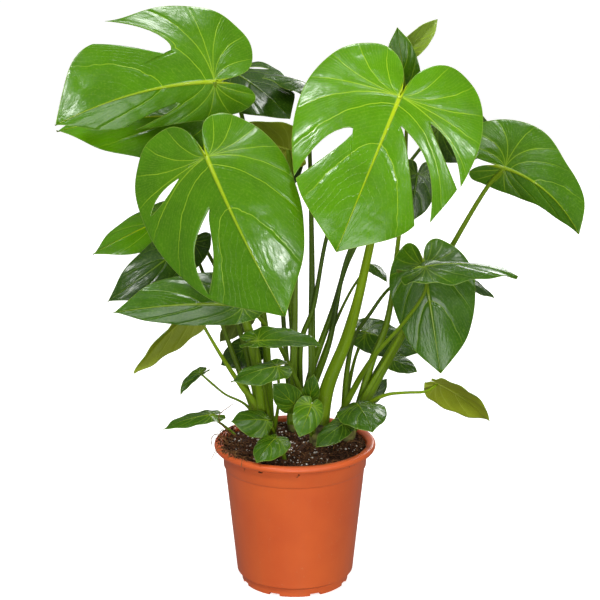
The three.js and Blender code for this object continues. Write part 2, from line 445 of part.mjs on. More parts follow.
// ---- pot ----
function potSolid() {
  const p = POT;
  const floor = p.floorRise + p.wall;
  const outline = [
    [0, 0], [p.padRadius - 2, 0], [p.padRadius, p.floorRise], [p.footRadius - 7, p.floorRise], [p.footRadius - 5, 0],
    [p.footRadius, 0], [p.footRadius + 0.8, 10], [p.shoulderRadius - 1.5, 12.5], [p.shoulderRadius, p.shoulderHeight], [p.stepRadius, p.stepHeight],
    [p.collarRadius, p.stepHeight + 1.2], [p.collarRadius + 1.2, 163], [91, 164.5], [94, 166],
    [p.lipRadius, 168.5], [94.5, 171], [92, p.height], [86, 171.5], [83.8, 168], [82, p.stepHeight + 2],
    [p.stepRadius - p.wall, p.stepHeight], [p.shoulderRadius - p.wall, p.shoulderHeight + 2],
    [p.footRadius - 1.2, floor + 1], [p.footRadius - 3, floor], [0, floor],
  ];
  const wall = new THREE.LatheGeometry(outline.map(([r, z]) => new THREE.Vector2(r, z)), 60);
  wall.rotateX(Math.PI / 2);
  let pot = solidOf(wall);
  for (let i = 0; i < p.drains; i += 1) {
    const turn = (2 * Math.PI * (i + 0.5)) / p.drains;
    const notch = new THREE.BoxGeometry(12, 13, 6);
    notch.translate(p.footRadius, 0, 0);
    notch.rotateZ(turn);
    pot = pot.subtract(solidOf(notch));
    const drain = new THREE.CylinderGeometry(p.drainRadius, p.drainRadius, 12, 16);
    drain.rotateX(Math.PI / 2);
    drain.translate(48, 0, p.floorRise);
    drain.rotateZ(turn);
    pot = pot.subtract(solidOf(drain));
  }
  return pot;
}

// ---- soil: a plug of potting mix that fills the pot, with a lumpy top ----
function soilHeight(x, y) {
  const out = Math.hypot(x, y) / 82;
  const lumps = Math.sin(x / 6.1 + 1) * Math.sin(y / 7.3) + 0.6 * Math.sin(x / 3.4 - y / 4.1);
  const bank = SOIL.bank * THREE.MathUtils.smoothstep(y, -50, 30);
  return SOIL.top + bank + SOIL.mound * (1 - out ** 2) + SOIL.lumps * lumps * Math.min(1, 4 * (1 - out));
}

function soilSolid() {
  const p = POT;
  const floor = p.floorRise + p.wall + GAP;
  const outline = [
    [0, floor], [p.footRadius - 3.5, floor], [p.footRadius - 1.7, floor + 1], [p.shoulderRadius - p.wall - 0.5, p.shoulderHeight + 2.5],
    [p.stepRadius - p.wall - 0.5, p.stepHeight], [81.4, p.stepHeight + 3], [82.4, 157], [82.6, SOIL.top],
    [78, SOIL.top], [68, SOIL.top], [54, SOIL.top], [38, SOIL.top], [20, SOIL.top], [0, SOIL.top],
  ];
  const plug = new THREE.LatheGeometry(outline.map(([r, z]) => new THREE.Vector2(r, z)), 32);
  plug.rotateX(Math.PI / 2);
  const place = plug.attributes.position;
  for (let i = 0; i < place.count; i += 1) {
    if (place.getZ(i) > SOIL.top - 0.1) place.setZ(i, soilHeight(place.getX(i), place.getY(i)));
  }
  return solidOf(plug);
}

// ---- put together ----
const stemSolid = (stem, grown) => loftAlong(
  [stem.foot, stem.top],
  (share) => (stem.girth / 2) * (share > 0.9 ? 0.75 : 1) + grown,
  12,
  16,
);

addPiece("pot", potSolid(), TERRACOTTA);

let taken = null;
const claim = (solid) => {
  taken = taken ? taken.add(solid) : solid;
};
for (const stem of STEMS) {
  addPiece(stem.name, stemSolid(stem, 0), STEM_BROWN);
  claim(stemSolid(stem, GAP));
}
for (const leaf of LEAVES) {
  const blade = bladeSolid(leaf, 0);
  if (leaf.whole) {
    const stalk = largestPart(stalkSolid(leaf, 0).subtract(taken));
    addPiece(`leaf_${leaf.name}`, largestPart(blade.add(stalk)), GREEN);
  } else {
    const hollow = new THREE.SphereGeometry(JOINT_HOLLOW, 12, 8).translate(...leaf.joint);
    const clearance = bladeSolid(leaf, JOINT_CLEARANCE).add(solidOf(hollow));
    const stalk = stalkSolid(leaf, 0).subtract(taken).subtract(clearance);
    addPiece(`stalk_${leaf.name}`, largestPart(stalk), STALK_GREEN);
    addPiece(`blade_${leaf.name}`, blade, GREEN);
  }
  claim(stalkSolid(leaf, GAP));
}
addPiece("soil", largestPart(soilSolid().subtract(taken)), SOIL_BROWN);

export default plant;
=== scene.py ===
# A young monstera of four stems in a plastic nursery pot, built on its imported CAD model, in metres.
import math
import random

import bmesh
import bpy
import numpy as np
from mathutils import Matrix, Vector


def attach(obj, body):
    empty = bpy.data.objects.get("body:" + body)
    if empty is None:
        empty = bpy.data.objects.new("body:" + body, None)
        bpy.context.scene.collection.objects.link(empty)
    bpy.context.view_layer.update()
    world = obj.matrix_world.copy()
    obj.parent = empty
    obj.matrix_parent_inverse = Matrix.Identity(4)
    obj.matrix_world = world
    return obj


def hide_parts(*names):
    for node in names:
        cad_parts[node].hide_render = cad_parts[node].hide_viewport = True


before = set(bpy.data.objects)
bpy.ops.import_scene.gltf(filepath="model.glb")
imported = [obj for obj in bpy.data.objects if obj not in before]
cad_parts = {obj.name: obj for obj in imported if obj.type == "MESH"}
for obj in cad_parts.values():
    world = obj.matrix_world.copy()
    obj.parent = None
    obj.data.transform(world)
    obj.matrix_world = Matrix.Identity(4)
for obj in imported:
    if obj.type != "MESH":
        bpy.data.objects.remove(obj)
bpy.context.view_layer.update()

mm = 0.001  # the tables below are in millimetres
print("frame loaded:", len(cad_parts), "CAD nodes")


# ---- small helpers ----
def linearColour(hexCode):
    channels = [int(hexCode[i:i + 2], 16) / 255 for i in (1, 3, 5)]
    return [c / 12.92 if c <= 0.04045 else ((c + 0.055) / 1.055) ** 2.4 for c in channels] + [1.0]


def addNode(tree, kind, inputs=None, out=None, **settings):
    # gives back the node, or the output named by out
    node = tree.nodes.new(kind)
    for name, value in settings.items():
        setattr(node, name, value)
    for socket, value in (inputs or {}).items():
        if isinstance(value, bpy.types.NodeSocket):
            tree.links.new(value, node.inputs[socket])
        else:
            node.inputs[socket].default_value = value
    return node if out is None else node.outputs[out]


def smoothStep(value, low, high):
    t = np.clip((np.asarray(value, float) - low) / (high - low), 0, 1)
    return t * t * (3 - 2 * t)


def unit(vector):
    return vector / np.linalg.norm(vector)


def newMaterial(name):
    material = bpy.data.materials.new(name)
    material.use_nodes = True
    material.node_tree.nodes.clear()
    return material, material.node_tree


def meshPiece(name, points, faces, materials, faceMaterials=None, attributes=None, uvs=None, smooth=True):
    # points are in millimetres; uvs holds one pair per face corner
    mesh = bpy.data.meshes.new(name)
    mesh.from_pydata((np.asarray(points) * mm).tolist(), [], [list(f) for f in faces])
    for material in materials:
        mesh.materials.append(material)
    if faceMaterials is not None:
        mesh.polygons.foreach_set("material_index", np.asarray(faceMaterials, np.int32))
    if uvs is not None:
        layer = mesh.uv_layers.new(name="UVMap")
        layer.data.foreach_set("uv", np.asarray(uvs, np.float32).ravel())
    for key, values in (attributes or {}).items():
        layer = mesh.attributes.new(key, "FLOAT", "POINT")
        layer.data.foreach_set("value", np.asarray(values, np.float32))
    mesh.polygons.foreach_set("use_smooth", [smooth] * len(mesh.polygons))
    mesh.validate()
    piece = bpy.data.objects.new(name, mesh)
    bpy.context.scene.collection.objects.link(piece)
    return piece


def finishPiece(piece, slotName, *nodes):
    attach(piece, "root")
    if nodes:
        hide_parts(*nodes)


# ---- leaf materials ----
# Living monstera leaf, upper side: a thin cuticle of wax over green tissue. It gives a broad soft
# gloss, pale veins that fan out from the joint, a quilted surface between them and a light rim.
leafLook = {
    "veinSpacing": 21.0,  # degrees between the main side veins
    "fineWidth": 0.22,  # mm, drawn coarser than the real 0.1 mm so that it shows
    "midribFoot": 2.2, "midribTip": 0.4,  # mm, half width on a large leaf
    "rim": "#9cba4a", "blotch": "#16330f", "speck": "#a5c944",
    # tones: the colour and the stretch of the tone value in which it takes over; veinWidth: mm from a main
    # vein's middle to its edge; swell and ridge: metres that the tissue and the fine veins stand out
    "upper": {
        "dark": "#243d10", "tones": (("#3a6604", 0.0, 0.5), ("#548e00", 0.45, 1.0), ("#86a03a", 1.0, 1.5)),
        "vein": ("#47681a", "#a4c828"), "midrib": ("#4a7420", "#b4cc10"), "veinShare": 0.72, "fineShare": 0.14,
        "veinWidth": 0.62, "swell": 0.00045, "ridge": -0.00005, "roughness": (0.14, 0.26), "specular": 0.42,
    },
    "under": {
        "dark": "#35491c", "tones": (("#8c9a16", 0.0, 1.0),),
        "vein": ("#5d7630", "#a3b13c"), "midrib": ("#6f8a38", "#b3c348"), "veinShare": 0.75, "fineShare": 0.35,
        "veinWidth": 0.775, "swell": -0.0004, "ridge": 0.00008, "roughness": (0.46, 0.6), "specular": 0.25,
    },
}


def leafMaterial(name, side):
    look = {**leafLook, **leafLook[side]}
    material, tree = newMaterial(name)
    place = addNode(tree, "ShaderNodeTexCoord", out="Object")
    uv = addNode(tree, "ShaderNodeUVMap", out=0, uv_map="UVMap")
    flat = addNode(tree, "ShaderNodeSeparateXYZ", {0: uv})
    alongVeins = addNode(tree, "ShaderNodeMapping", {"Vector": uv, "Scale": (85, 9, 1)}, 0)
    tone, along, perDegree, fromMidrib, fromMargin = [
        addNode(tree, "ShaderNodeAttribute", out="Fac", attribute_name=key)
        for key in ("tone", "along", "perDegree", "midribDistance", "marginDistance")]
    waver, cloud, dots, ripple, pucker, skin, dull = [
        addNode(tree, "ShaderNodeTexNoise", {"Vector": where, "Scale": scale, "Detail": detail}, "Fac")
        for where, scale, detail in (
            (place, 55.0, 2.0), (place, 28.0, 3.0), (place, 420.0, 2.0), (place, 30.0, 2.0),
            (alongVeins, 1.0, 2.0), (place, 1500.0, 1.0), (place, 60.0, 3.0))]

    # the angle from the midrib, in degrees, wavers a little as real veins do
    waver = addNode(tree, "ShaderNodeMath", {0: waver, 1: 3.0, 2: -1.5}, 0, operation="MULTIPLY_ADD")
    turn = addNode(tree, "ShaderNodeMath", {0: flat.outputs[0], 1: 0.5}, 0, operation="SUBTRACT")
    turn = addNode(tree, "ShaderNodeMath", {0: turn}, 0, operation="ABSOLUTE")
    angle = addNode(tree, "ShaderNodeMath", {0: turn, 1: 360.0, 2: waver}, 0, operation="MULTIPLY_ADD")
    # millimetres from the nearest main vein and the nearest fine one
    nearest = []
    for spacing in (look["veinSpacing"], look["veinSpacing"] / 9):
        away = addNode(tree, "ShaderNodeMath", {0: angle, 1: spacing / 2}, 0, operation="PINGPONG")
        nearest.append(addNode(tree, "ShaderNodeMath", {0: away, 1: perDegree}, 0, operation="MULTIPLY"))
    mainMm, fineMm = nearest
    taper = addNode(tree, "ShaderNodeMath", {0: 1.0, 1: along}, 0, operation="SUBTRACT")
    taper = addNode(tree, "ShaderNodeMath", {0: taper, 1: 1.6}, 0, operation="POWER")
    ribWidth = addNode(tree, "ShaderNodeMath", {
        0: taper, 1: look["midribFoot"] - look["midribTip"], 2: look["midribTip"]}, 0, operation="MULTIPLY_ADD")
    ribAway = addNode(tree, "ShaderNodeMath", {0: fromMidrib, 1: ribWidth}, 0, operation="DIVIDE")
    width, fine = look["veinWidth"], look["fineWidth"]
    fade, mainVein, fineVein, midrib, rim, swell, cloud, dots, rough = [
        addNode(tree, "ShaderNodeMapRange", {
            "Value": value, "From Min": low, "From Max": high, "To Min": start, "To Max": end},
            "Result", interpolation_type="SMOOTHSTEP")
        for value, low, high, start, end in (
            (flat.outputs[1], 0.7, 1.0, 1.0, 0.25), (mainMm, width * 0.35, width * 1.3, 1.0, 0.0),
            (fineMm, fine * 0.3, fine * 1.6, 1.0, 0.0), (ribAway, 0.6, 1.5, 1.0, 0.0),
            (fromMargin, 0.35, 1.1, 1.0, 0.0), (mainMm, 0.0, 6.0, 0.0, 1.0),
            (cloud, 0.35, 0.7, 0.0, 1.0), (dots, 0.45, 0.75, 0.0, 1.0), (dull, 0.3, 0.7, *look["roughness"]))]
    mainVein = addNode(tree, "ShaderNodeMath", {0: mainVein, 1: fade}, 0, operation="MULTIPLY")
    ribShow = addNode(tree, "ShaderNodeMath", {0: taper, 1: 0.5, 2: 0.45}, 0, operation="MULTIPLY_ADD")
    ribShow = addNode(tree, "ShaderNodeMath", {0: midrib, 1: ribShow}, 0, operation="MULTIPLY")

    # painted light and shade: the leaf's green and its vein colours follow its tone and shade value. Besides the
    # leaf's age, that value is set leaf by leaf: darker for a leaf in shade, paler for one that catches a sheen
    green = linearColour(look["dark"])
    for hexCode, low, high in look["tones"]:
        share = addNode(tree, "ShaderNodeMapRange", {"Value": tone, "From Min": low, "From Max": high},
                        "Result", interpolation_type="SMOOTHSTEP")
        green = addNode(tree, "ShaderNodeMix", {0: share, 6: green, 7: linearColour(hexCode)}, 2, data_type="RGBA")
    veinColour, ribColour = [
        addNode(tree, "ShaderNodeMix", {0: tone, 6: linearColour(old), 7: linearColour(fresh)}, 2, data_type="RGBA")
        for old, fresh in (look["vein"], look["midrib"])]
    for share, most, colour in (
            (cloud, 0.1925, linearColour(look["blotch"])), (dots, 0.09, linearColour(look["speck"])),
            (fineVein, look["fineShare"], veinColour), (mainVein, look["veinShare"], veinColour),
            (rim, 0.5, linearColour(look["rim"])), (ribShow, 1.0, ribColour)):
        share = addNode(tree, "ShaderNodeMath", {0: share, 1: most}, 0, operation="MULTIPLY")
        green = addNode(tree, "ShaderNodeMix", {0: share, 6: green, 7: colour}, 2, data_type="RGBA")

    # relief in metres: the tissue swells between the veins, with slow ripples, puckers about 5 mm wide
    # drawn out along the side veins, and a fine skin
    relief = 0.0
    for source, height in (
            (swell, look["swell"]), (ripple, 0.0015), (skin, 0.00002), (fineVein, look["ridge"]),
            (midrib, 0.0005), (pucker, 0.0003)):
        relief = addNode(tree, "ShaderNodeMath", {0: source, 1: height, 2: relief}, 0, operation="MULTIPLY_ADD")
    bump = addNode(tree, "ShaderNodeBump", {"Strength": 1.0, "Distance": 1.0, "Height": relief}, 0)
    shader = addNode(tree, "ShaderNodeBsdfPrincipled", {
        "Base Color": green, "Roughness": rough, "IOR": 1.45, "Specular IOR Level": look["specular"],
        "Normal": bump}, 0)
    addNode(tree, "ShaderNodeOutputMaterial", {"Surface": shader})
    return material


waxyLeafUpper = leafMaterial("waxyLeafUpper", "upper")
mattLeafUnder = leafMaterial("mattLeafUnder", "under")


# Living leaf stalk: smooth, ribbed lengthwise, lime near the blade and paler in the sheath at its foot. It
# gives a soft sheen with fine lengthwise streaks and small pale flecks. Its green from dark to bright lime is
# partly painted light and shade, set stalk by stalk: near black for a stalk in shade, bright lime for a lit one.
stalkLook = {
    "dark": "#2c4410", "bright": "#84a408", "sheath": "#6f9212",
    "streak": "#2f4a14", "fleck": "#c8d68a", "scar": "#6f6a2c", "streakSpacing": 0.9,  # mm
}


def stalkMaterial(name):
    look = stalkLook
    material, tree = newMaterial(name)
    place = addNode(tree, "ShaderNodeTexCoord", out="Object")
    uv = addNode(tree, "ShaderNodeUVMap", out=0, uv_map="UVMap")
    tone, sheath = [
        addNode(tree, "ShaderNodeAttribute", out="Fac", attribute_name=key) for key in ("stalkTone", "sheath")]
    # the UVs are in metres round and along the stalk, so a streak is a noise squeezed across it
    narrow, dotted = [addNode(tree, "ShaderNodeMapping", {"Vector": uv, "Scale": scale}, 0)
                      for scale in ((1 / (look["streakSpacing"] * mm), 22, 1), (900, 260, 1))]
    streaks, flecks, patches = [
        addNode(tree, "ShaderNodeTexNoise", {"Vector": where, "Scale": scale, "Detail": detail}, "Fac")
        for where, scale, detail in ((narrow, 1.0, 2.0), (dotted, 1.0, 1.0), (place, 45.0, 3.0))]
    # painted light and shade: the green runs from dark to bright by the stalk tone and shade value, which is set
    # stalk by stalk for the shade or light the stalk stands in
    green = addNode(tree, "ShaderNodeMix", {
        0: tone, 6: linearColour(look["dark"]), 7: linearColour(look["bright"])}, 2, data_type="RGBA")
    for value, low, high, most, hexCode in (
            (sheath, 0.1, 1.0, 0.55, look["sheath"]), (streaks, 0.4, 0.7, 0.3, look["streak"]),
            (flecks, 0.66, 0.76, 0.25, look["fleck"]), (patches, 0.62, 0.75, 0.3, look["scar"])):
        share = addNode(tree, "ShaderNodeMapRange", {
            "Value": value, "From Min": low, "From Max": high, "To Max": most}, 0)
        green = addNode(tree, "ShaderNodeMix", {0: share, 6: green, 7: linearColour(hexCode)}, 2, data_type="RGBA")
    rough = addNode(tree, "ShaderNodeMapRange", {
        "Value": patches, "From Min": 0.3, "From Max": 0.7, "To Min": 0.32, "To Max": 0.5}, 0)
    relief = addNode(tree, "ShaderNodeMath", {0: streaks, 1: 0.0003}, 0, operation="MULTIPLY")
    bump = addNode(tree, "ShaderNodeBump", {"Strength": 1.0, "Distance": 1.0, "Height": relief}, 0)
    shader = addNode(tree, "ShaderNodeBsdfPrincipled", {
        "Base Color": green, "Roughness": rough, "IOR": 1.45, "Specular IOR Level": 0.18, "Normal": bump}, 0)
    addNode(tree, "ShaderNodeOutputMaterial", {"Surface": shader})
    return material


satinStalk = stalkMaterial("satinStalk")
print("leaf materials made")


# ---- leaves ----
# joint: where the stalk meets the blade. tip: where the blade ends. face: which way its upper side looks.
# droop: how far the midrib turns down, in degrees; sway: how far it turns to the left. fold: the tilt of
# the left and right half at the midrib; cup: how much more each half turns by its margin. spread: how wide
# each half is; lobes: how long the lobes beside the joint are. slits: side, margin angle, start and end
# between midrib and margin, half width, half mouth, skew. stalk: points on its way up to the joint; girth: its
# thickness at its foot and at its joint. tone and shade: 0 is old dark green, 1 is fresh bright green and 1.5
# is pale and still unrolling; besides the leaf's age it holds painted light and shade, set leaf by leaf:
# darker for a leaf that stands in shade, paler for a leaf that catches a sheen. stalk tone and shade: the
# stalk's green from near black to bright lime, partly its own colour and partly painted light and shade, set
# stalk by stalk for the shade or light it stands in. whole: the leaf and its stalk are one piece.
usualLeaf = {
    "droop": 30, "sway": 0, "fold": (-10, -10), "cup": (-20, -20), "lobes": (1, 1), "lobesFrom": 70,
    "wave": 0.01, "slits": [], "sheath": 0.42, "stalkTone": 0.4, "whole": True,
}
leaves = {
    "top_left": {
        "joint": (-90, 10, 595), "tip": (-265, -40, 555), "face": (-0.1, -0.85, 0.5), "sway": 16,
        "fold": (-30, 4), "cup": (-20, -12), "spread": (0.42, 0.97), "lobes": (0.96, 0.97), "wave": 0.012,
        "slits": [("right", 38.5, 0.47, 1, 6.5, 6.5, 0.42), ("left", 38, 0.5, 1, 3.5, 4, 0.6)],
        "girth": (13, 5), "tone": 0.74, "whole": False,
        "stalk": ((-28, 12, 180), (-40, 18, 240), (-62, 24, 335), (-82, 24, 465), (-91, 17, 560)),
    },
    "front_left": {
        "joint": (-95, -95, 530), "tip": (-10, -150, 365), "face": (-0.3, -0.9, 0.3), "droop": 26,
        "fold": (-30, -4), "cup": (-26, -14), "spread": (0.8, 0.95), "lobes": (0.84, 1),
        "slits": [("right", 27, 0.26, 0.975, 6.5, 0, 1.1), ("right", 73, 0.34, 0.86, 5.5, 0, 0.7)],
        "girth": (15, 6), "tone": 0.73, "stalkTone": 0.6, "whole": False,
        "stalk": ((-34, 0, 180), (-45, -8, 270), (-63, -10, 345), (-85, -34, 435), (-99, -68, 500)),
    },
    "front_middle": {
        "joint": (115, -60, 590), "tip": (45, -120, 430), "face": (0, -0.95, 0.3), "droop": 24,
        "fold": (-4, -4), "cup": (-16, -16), "spread": (1, 1), "lobes": (1.1, 1), "wave": 0.008,
        "slits": [("right", 30, 0.42, 1, 5.5, 0.6, 0.5), ("left", 56, 0.38, 1, 5.5, 1.2, 0.6),
                  ("left", 32, 0.15, 1, 6.5, 3.5, 0.6)], "girth": (18, 7), "tone": 1, "stalkTone": 0.85,
        "whole": False,
        "stalk": ((30, 0, 180), (38, 0, 235), (62, -2, 302), (84, -10, 402), (98, -16, 480), (112, -34, 555)),
    },
    "right": {
        "joint": (241, 30, 492), "tip": (322, -20, 426), "face": (-0.1, -0.75, 0.65), "droop": 24, "sway": -42,
        "fold": (16, -50), "spread": (0.64, 0.37), "lobes": (1.6, 1.3), "lobesFrom": 44, "wave": 0.012,
        "girth": (17, 5), "tone": 0.58, "stalkTone": 0.55, "whole": False,
        "stalk": ((66, 22, 180), (97, 28, 240), (124, 36, 287), (147, 42, 328), (179, 45, 388), (225, 38, 472)),
    },
    "right_low": {
        "joint": (148, 0, 386), "tip": (168, -25, 262), "face": (0, -1, 0.15), "droop": 20, "fold": (-6, -10),
        "spread": (0.8, 0.62), "lobes": (0.75, 0.75), "wave": 0.008, "girth": (9, 4), "tone": 0.46,
        "stalkTone": 0.7, "whole": False,
        "stalk": ((64, 18, 185), (88, 18, 231), (114, 22, 276), (132, 22, 313), (145, 14, 351)),
    },
    "right_level": {
        "joint": (146, -50, 396), "tip": (252, -40, 382), "face": (0, 0.05, 1), "droop": 34, "fold": (0, -20),
        "cup": (-30, -50), "spread": (0.4, 0.5), "wave": 0.02, "girth": (9, 4), "tone": 0.4, "stalkTone": 0.5,
        "whole": False,
        "stalk": ((44, 4, 182), (69, -5, 237), (88, -25, 279), (127, -40, 332), (148, -46, 370)),
    },
    "right_hanging": {
        "joint": (167, 0, 242), "tip": (230, 10, 193), "face": (0.3, 0.8, 0.5), "cup": (-30, -30),
        "spread": (0.6, 0.6), "lobes": (0.6, 0.6), "girth": (7, 3), "tone": 0.85, "stalkTone": 0.8,
        "stalk": ((64, 16, 182), (84, 4, 214), (107, -2, 229), (130, -6, 233), (153, -7, 235)),
    },
    "right_rim": {
        "joint": (73, -28, 225), "tip": (89, -72, 208), "face": (0, -0.5, 0.85), "droop": 40, "fold": (-6, -6),
        "spread": (1.1, 1), "lobes": (1.1, 1.1), "wave": 0.03, "girth": (7, 3.5), "tone": 0.32,
        "stalk": ((56, 12, 182), (66, -8, 208)),
    },
    "right_inner": {
        "joint": (86, 100, 275), "tip": (151, 100, 249), "face": (0, -0.75, 0.65), "droop": 34,
        "fold": (-6, -6), "spread": (0.6, 0.6), "wave": 0.02, "girth": (8, 3.5), "tone": 0.25,
        "stalk": ((58, 28, 182), (64, 62, 215), (74, 88, 250)),
    },
    "right_back": {
        "joint": (174, 88, 354), "tip": (238, 75, 326), "face": (0.2, -0.3, 0.9), "droop": 34,
        "fold": (-6, -6), "spread": (0.45, 0.45), "girth": (8, 3.5), "tone": 0.12, "stalkTone": 0.2,
        "stalk": ((58, 26, 182), (62, 48, 240), (71, 58, 282), (88, 66, 306), (118, 76, 341)),
    },
    "right_small": {
        "joint": (117, 60, 252), "tip": (146, 52, 240), "face": (0.1, -0.7, 0.7), "droop": 34,
        "fold": (-6, -6), "spread": (0.7, 0.7), "girth": (6, 3), "tone": 0.2,
        "stalk": ((68, 28, 184), (92, 54, 228)),
    },
    "right_tiny": {
        "joint": (93, 50, 209), "tip": (110, 54, 231), "face": (0, -1, 0.2), "droop": 20, "fold": (-6, -6),
        "spread": (0.6, 0.6), "girth": (5, 3), "tone": 0.2, "stalk": ((68, 30, 182), (82, 44, 196)),
    },
    "back_small": {
        "joint": (88, 55, 372), "tip": (107, 20, 360), "face": (0.1, -0.6, 0.8), "droop": 50,
        "fold": (-20, -20), "cup": (-30, -30), "spread": (0.4, 0.4), "girth": (7, 3), "tone": 0.2,
        "stalk": ((10, 44, 182), (38, 66, 270), (66, 68, 335)),
    },
    "back_top": {
        "joint": (-75, 120, 590), "tip": (-5, 60, 545), "face": (0, -0.5, 0.85), "fold": (-6, -6),
        "spread": (0.9, 0.8), "lobes": (0.6, 0.6), "slits": [("left", 60, 0.35, 0.8, 7, 0, 0.6)],
        "girth": (12, 5), "tone": 0.22, "stalkTone": 0.5, "whole": False,
        "stalk": ((0, 44, 178), (-6, 84, 320), (-45, 118, 460)),
    },
    "back_folded": {
        "joint": (15, 95, 579), "tip": (-37, 50, 593), "face": (0, -0.5, 0.85), "fold": (-10, -20),
        "spread": (0.6, 0.6), "girth": (12, 4.5), "tone": 0.22, "stalkTone": 0.2, "whole": False,
        "stalk": ((6, 44, 180), (19, 48, 225), (20, 62, 290), (20, 76, 380), (18, 98, 480)),
    },
    "back_pale": {
        "joint": (-8, 66, 507), "tip": (-90, 38, 529), "face": (0, 0.95, 0.3), "droop": 26,
        "spread": (0.78, 0.45), "girth": (12, 5), "tone": 1, "stalkTone": 0.45, "whole": False,
        "stalk": ((-4, 36, 180), (0, 50, 330), (0, 62, 440)),
    },
    "back_dark": {
        "joint": (-12, 100, 500), "tip": (-17, 80, 449), "face": (0, -0.9, 0.3), "droop": 20, "fold": (-6, -6),
        "spread": (0.8, 0.8), "girth": (8, 4), "tone": 0.12, "stalkTone": 0.2,
        "stalk": ((-4, 46, 180), (-16, 76, 340), (-16, 100, 450)),
    },
    "left_wide": {
        "joint": (-90, 75, 541), "tip": (-271, 20, 538), "face": (-0.1, -0.6, 0.8), "fold": (-14, 0),
        "spread": (0.55, 0.4), "lobes": (0.3, 0.3), "girth": (11, 5), "tone": 0.95, "whole": False,
        "stalk": ((-30, 16, 182), (-40, 48, 330), (-78, 72, 470)),
    },
    "left_upper": {
        "joint": (-137, 70, 431), "tip": (-235, 32, 390), "face": (-0.2, -0.6, 0.75), "sway": -20,
        "fold": (-10, 0), "spread": (0.5, 0.45), "lobes": (0.7, 0.7), "girth": (9, 4), "tone": 0.95,
        "whole": False, "stalk": ((-38, 12, 182), (-60, 32, 280), (-98, 62, 375)),
    },
    "left_middle": {
        "joint": (-121, 25, 408), "tip": (-215, -15, 346), "face": (-0.2, -0.8, 0.55), "sway": -20,
        "fold": (-10, 0), "spread": (0.45, 0.45), "lobes": (0.7, 0.7), "girth": (9, 4), "tone": 0.2,
        "whole": False, "stalk": ((-40, 8, 182), (-74, 22, 275), (-100, 27, 350)),
    },
    "left_lower": {
        "joint": (-58, -52, 352), "tip": (-203, -68, 348), "face": (-0.1, -0.75, 0.65), "fold": (-30, 0),
        "spread": (0.3, 0.52), "lobes": (0.6, 0.6), "girth": (8, 4), "tone": 0.44, "whole": False,
        "stalk": ((22, 4, 180), (8, 6, 225), (-6, 4, 262), (-24, -4, 300), (-46, -28, 336)),
    },
    "left_hanging": {
        "joint": (-115, 0, 330), "tip": (-186, -25, 263), "face": (-0.2, 0.6, 0.75), "droop": 26,
        "fold": (-10, -60), "spread": (0.36, 0.4), "girth": (10, 3.5), "tone": 0.75, "stalkTone": 0.9,
        "whole": False, "stalk": ((-40, 4, 184), (-47, 6, 214), (-64, 4, 240), (-89, 0, 282)),
    },
    "left_grey": {
        "joint": (-61, 76, 304), "tip": (-90, 64, 274), "face": (0.2, 0.7, 0.6), "droop": 26,
        "spread": (0.7, 0.7), "girth": (6, 3), "tone": 0.3, "stalk": ((-34, 12, 184), (-50, 60, 245)),
    },
    "left_back": {
        "joint": (-50, 46, 275), "tip": (-88, 38, 253), "face": (-0.1, -0.7, 0.7), "droop": 26,
        "spread": (0.9, 0.9), "girth": (6, 3), "tone": 0.2, "stalk": ((-30, 14, 184), (-38, 46, 230)),
    },
    "left_small": {
        "joint": (-110, 15, 249), "tip": (-134, 0, 228), "face": (-0.6, -0.5, 0.6), "fold": (30, 30),
        "spread": (0.5, 0.5), "girth": (4, 2.5), "tone": 0.3, "stalkTone": 0.6,
        "stalk": ((-40, 8, 184), (-58, 12, 212), (-82, 15, 224), (-95, 15, 235)),
    },
    "left_rim": {
        "joint": (-100, 25, 195), "tip": (-155, 5, 184), "face": (0, -0.3, 0.95), "droop": 26,
        "fold": (-6, -6), "spread": (0.4, 0.4), "girth": (4, 2.5), "tone": 0.5, "stalkTone": 0.6,
        "stalk": ((-66, 26, 150), (-72, 27, 170), (-84, 28, 180), (-94, 27, 188)),
    },
    "notch": {
        "joint": (125, 20, 585), "tip": (115, 20, 655), "face": (0, -1, 0.1), "droop": 16, "fold": (10, 10),
        "cup": (-10, -10), "spread": (0.5, 0.5), "girth": (10, 4), "tone": 0.55, "stalkTone": 0.65,
        "whole": False,
        "stalk": ((70, 26, 182), (92, 30, 262), (108, 36, 304), (118, 40, 380), (127, 46, 480), (128, 44, 562)),
    },
    "new_rolled": {
        "joint": (127, 60, 624), "tip": (163, 60, 659), "face": (0.2, -1, 0.1), "droop": -16, "fold": (40, 40),
        "cup": (30, 30), "spread": (0.7, 0.7), "lobes": (0.6, 0.6), "wave": 0, "girth": (7, 4), "tone": 1.5,
        "stalkTone": 0.2,
        "stalk": ((8, 46, 180), (8, 55, 278), (21, 60, 314), (36, 68, 395), (56, 72, 466), (102, 68, 562)),
    },
    "behind_middle": {
        "joint": (143, 60, 479), "tip": (134, 50, 423), "face": (0, -1, 0.1), "droop": 20, "fold": (-6, -6),
        "spread": (0.8, 0.8), "girth": (9, 4), "tone": 0.12, "stalkTone": 0.12,
        "stalk": ((8, 42, 180), (22, 42, 224), (40, 50, 274), (66, 62, 390), (110, 72, 450)),
    },
    "behind_right": {
        "joint": (172, 118, 527), "tip": (238, 104, 502), "face": (0, -0.9, 0.4), "droop": 20,
        "fold": (-6, -6), "spread": (1, 1), "girth": (9, 4), "tone": 0.12, "stalkTone": 0.15,
        "stalk": ((8, 46, 182), (20, 52, 240), (44, 62, 310), (64, 76, 372), (120, 102, 462)),
    },
    "inner_edge": {
        "joint": (-42, -30, 303), "tip": (31, -38, 299), "face": (0, -0.15, 1), "droop": 20, "fold": (40, -10),
        "spread": (0.42, 0.3), "girth": (5, 3), "tone": 0.42,
        "stalk": ((-28, -4, 186), (-34, -22, 235), (-43, -29, 285)),
    },
    "inner_wavy": {
        "joint": (-20, -44, 277), "tip": (-73, -58, 264), "face": (0, -0.5, 0.85), "spread": (0.6, 0.45),
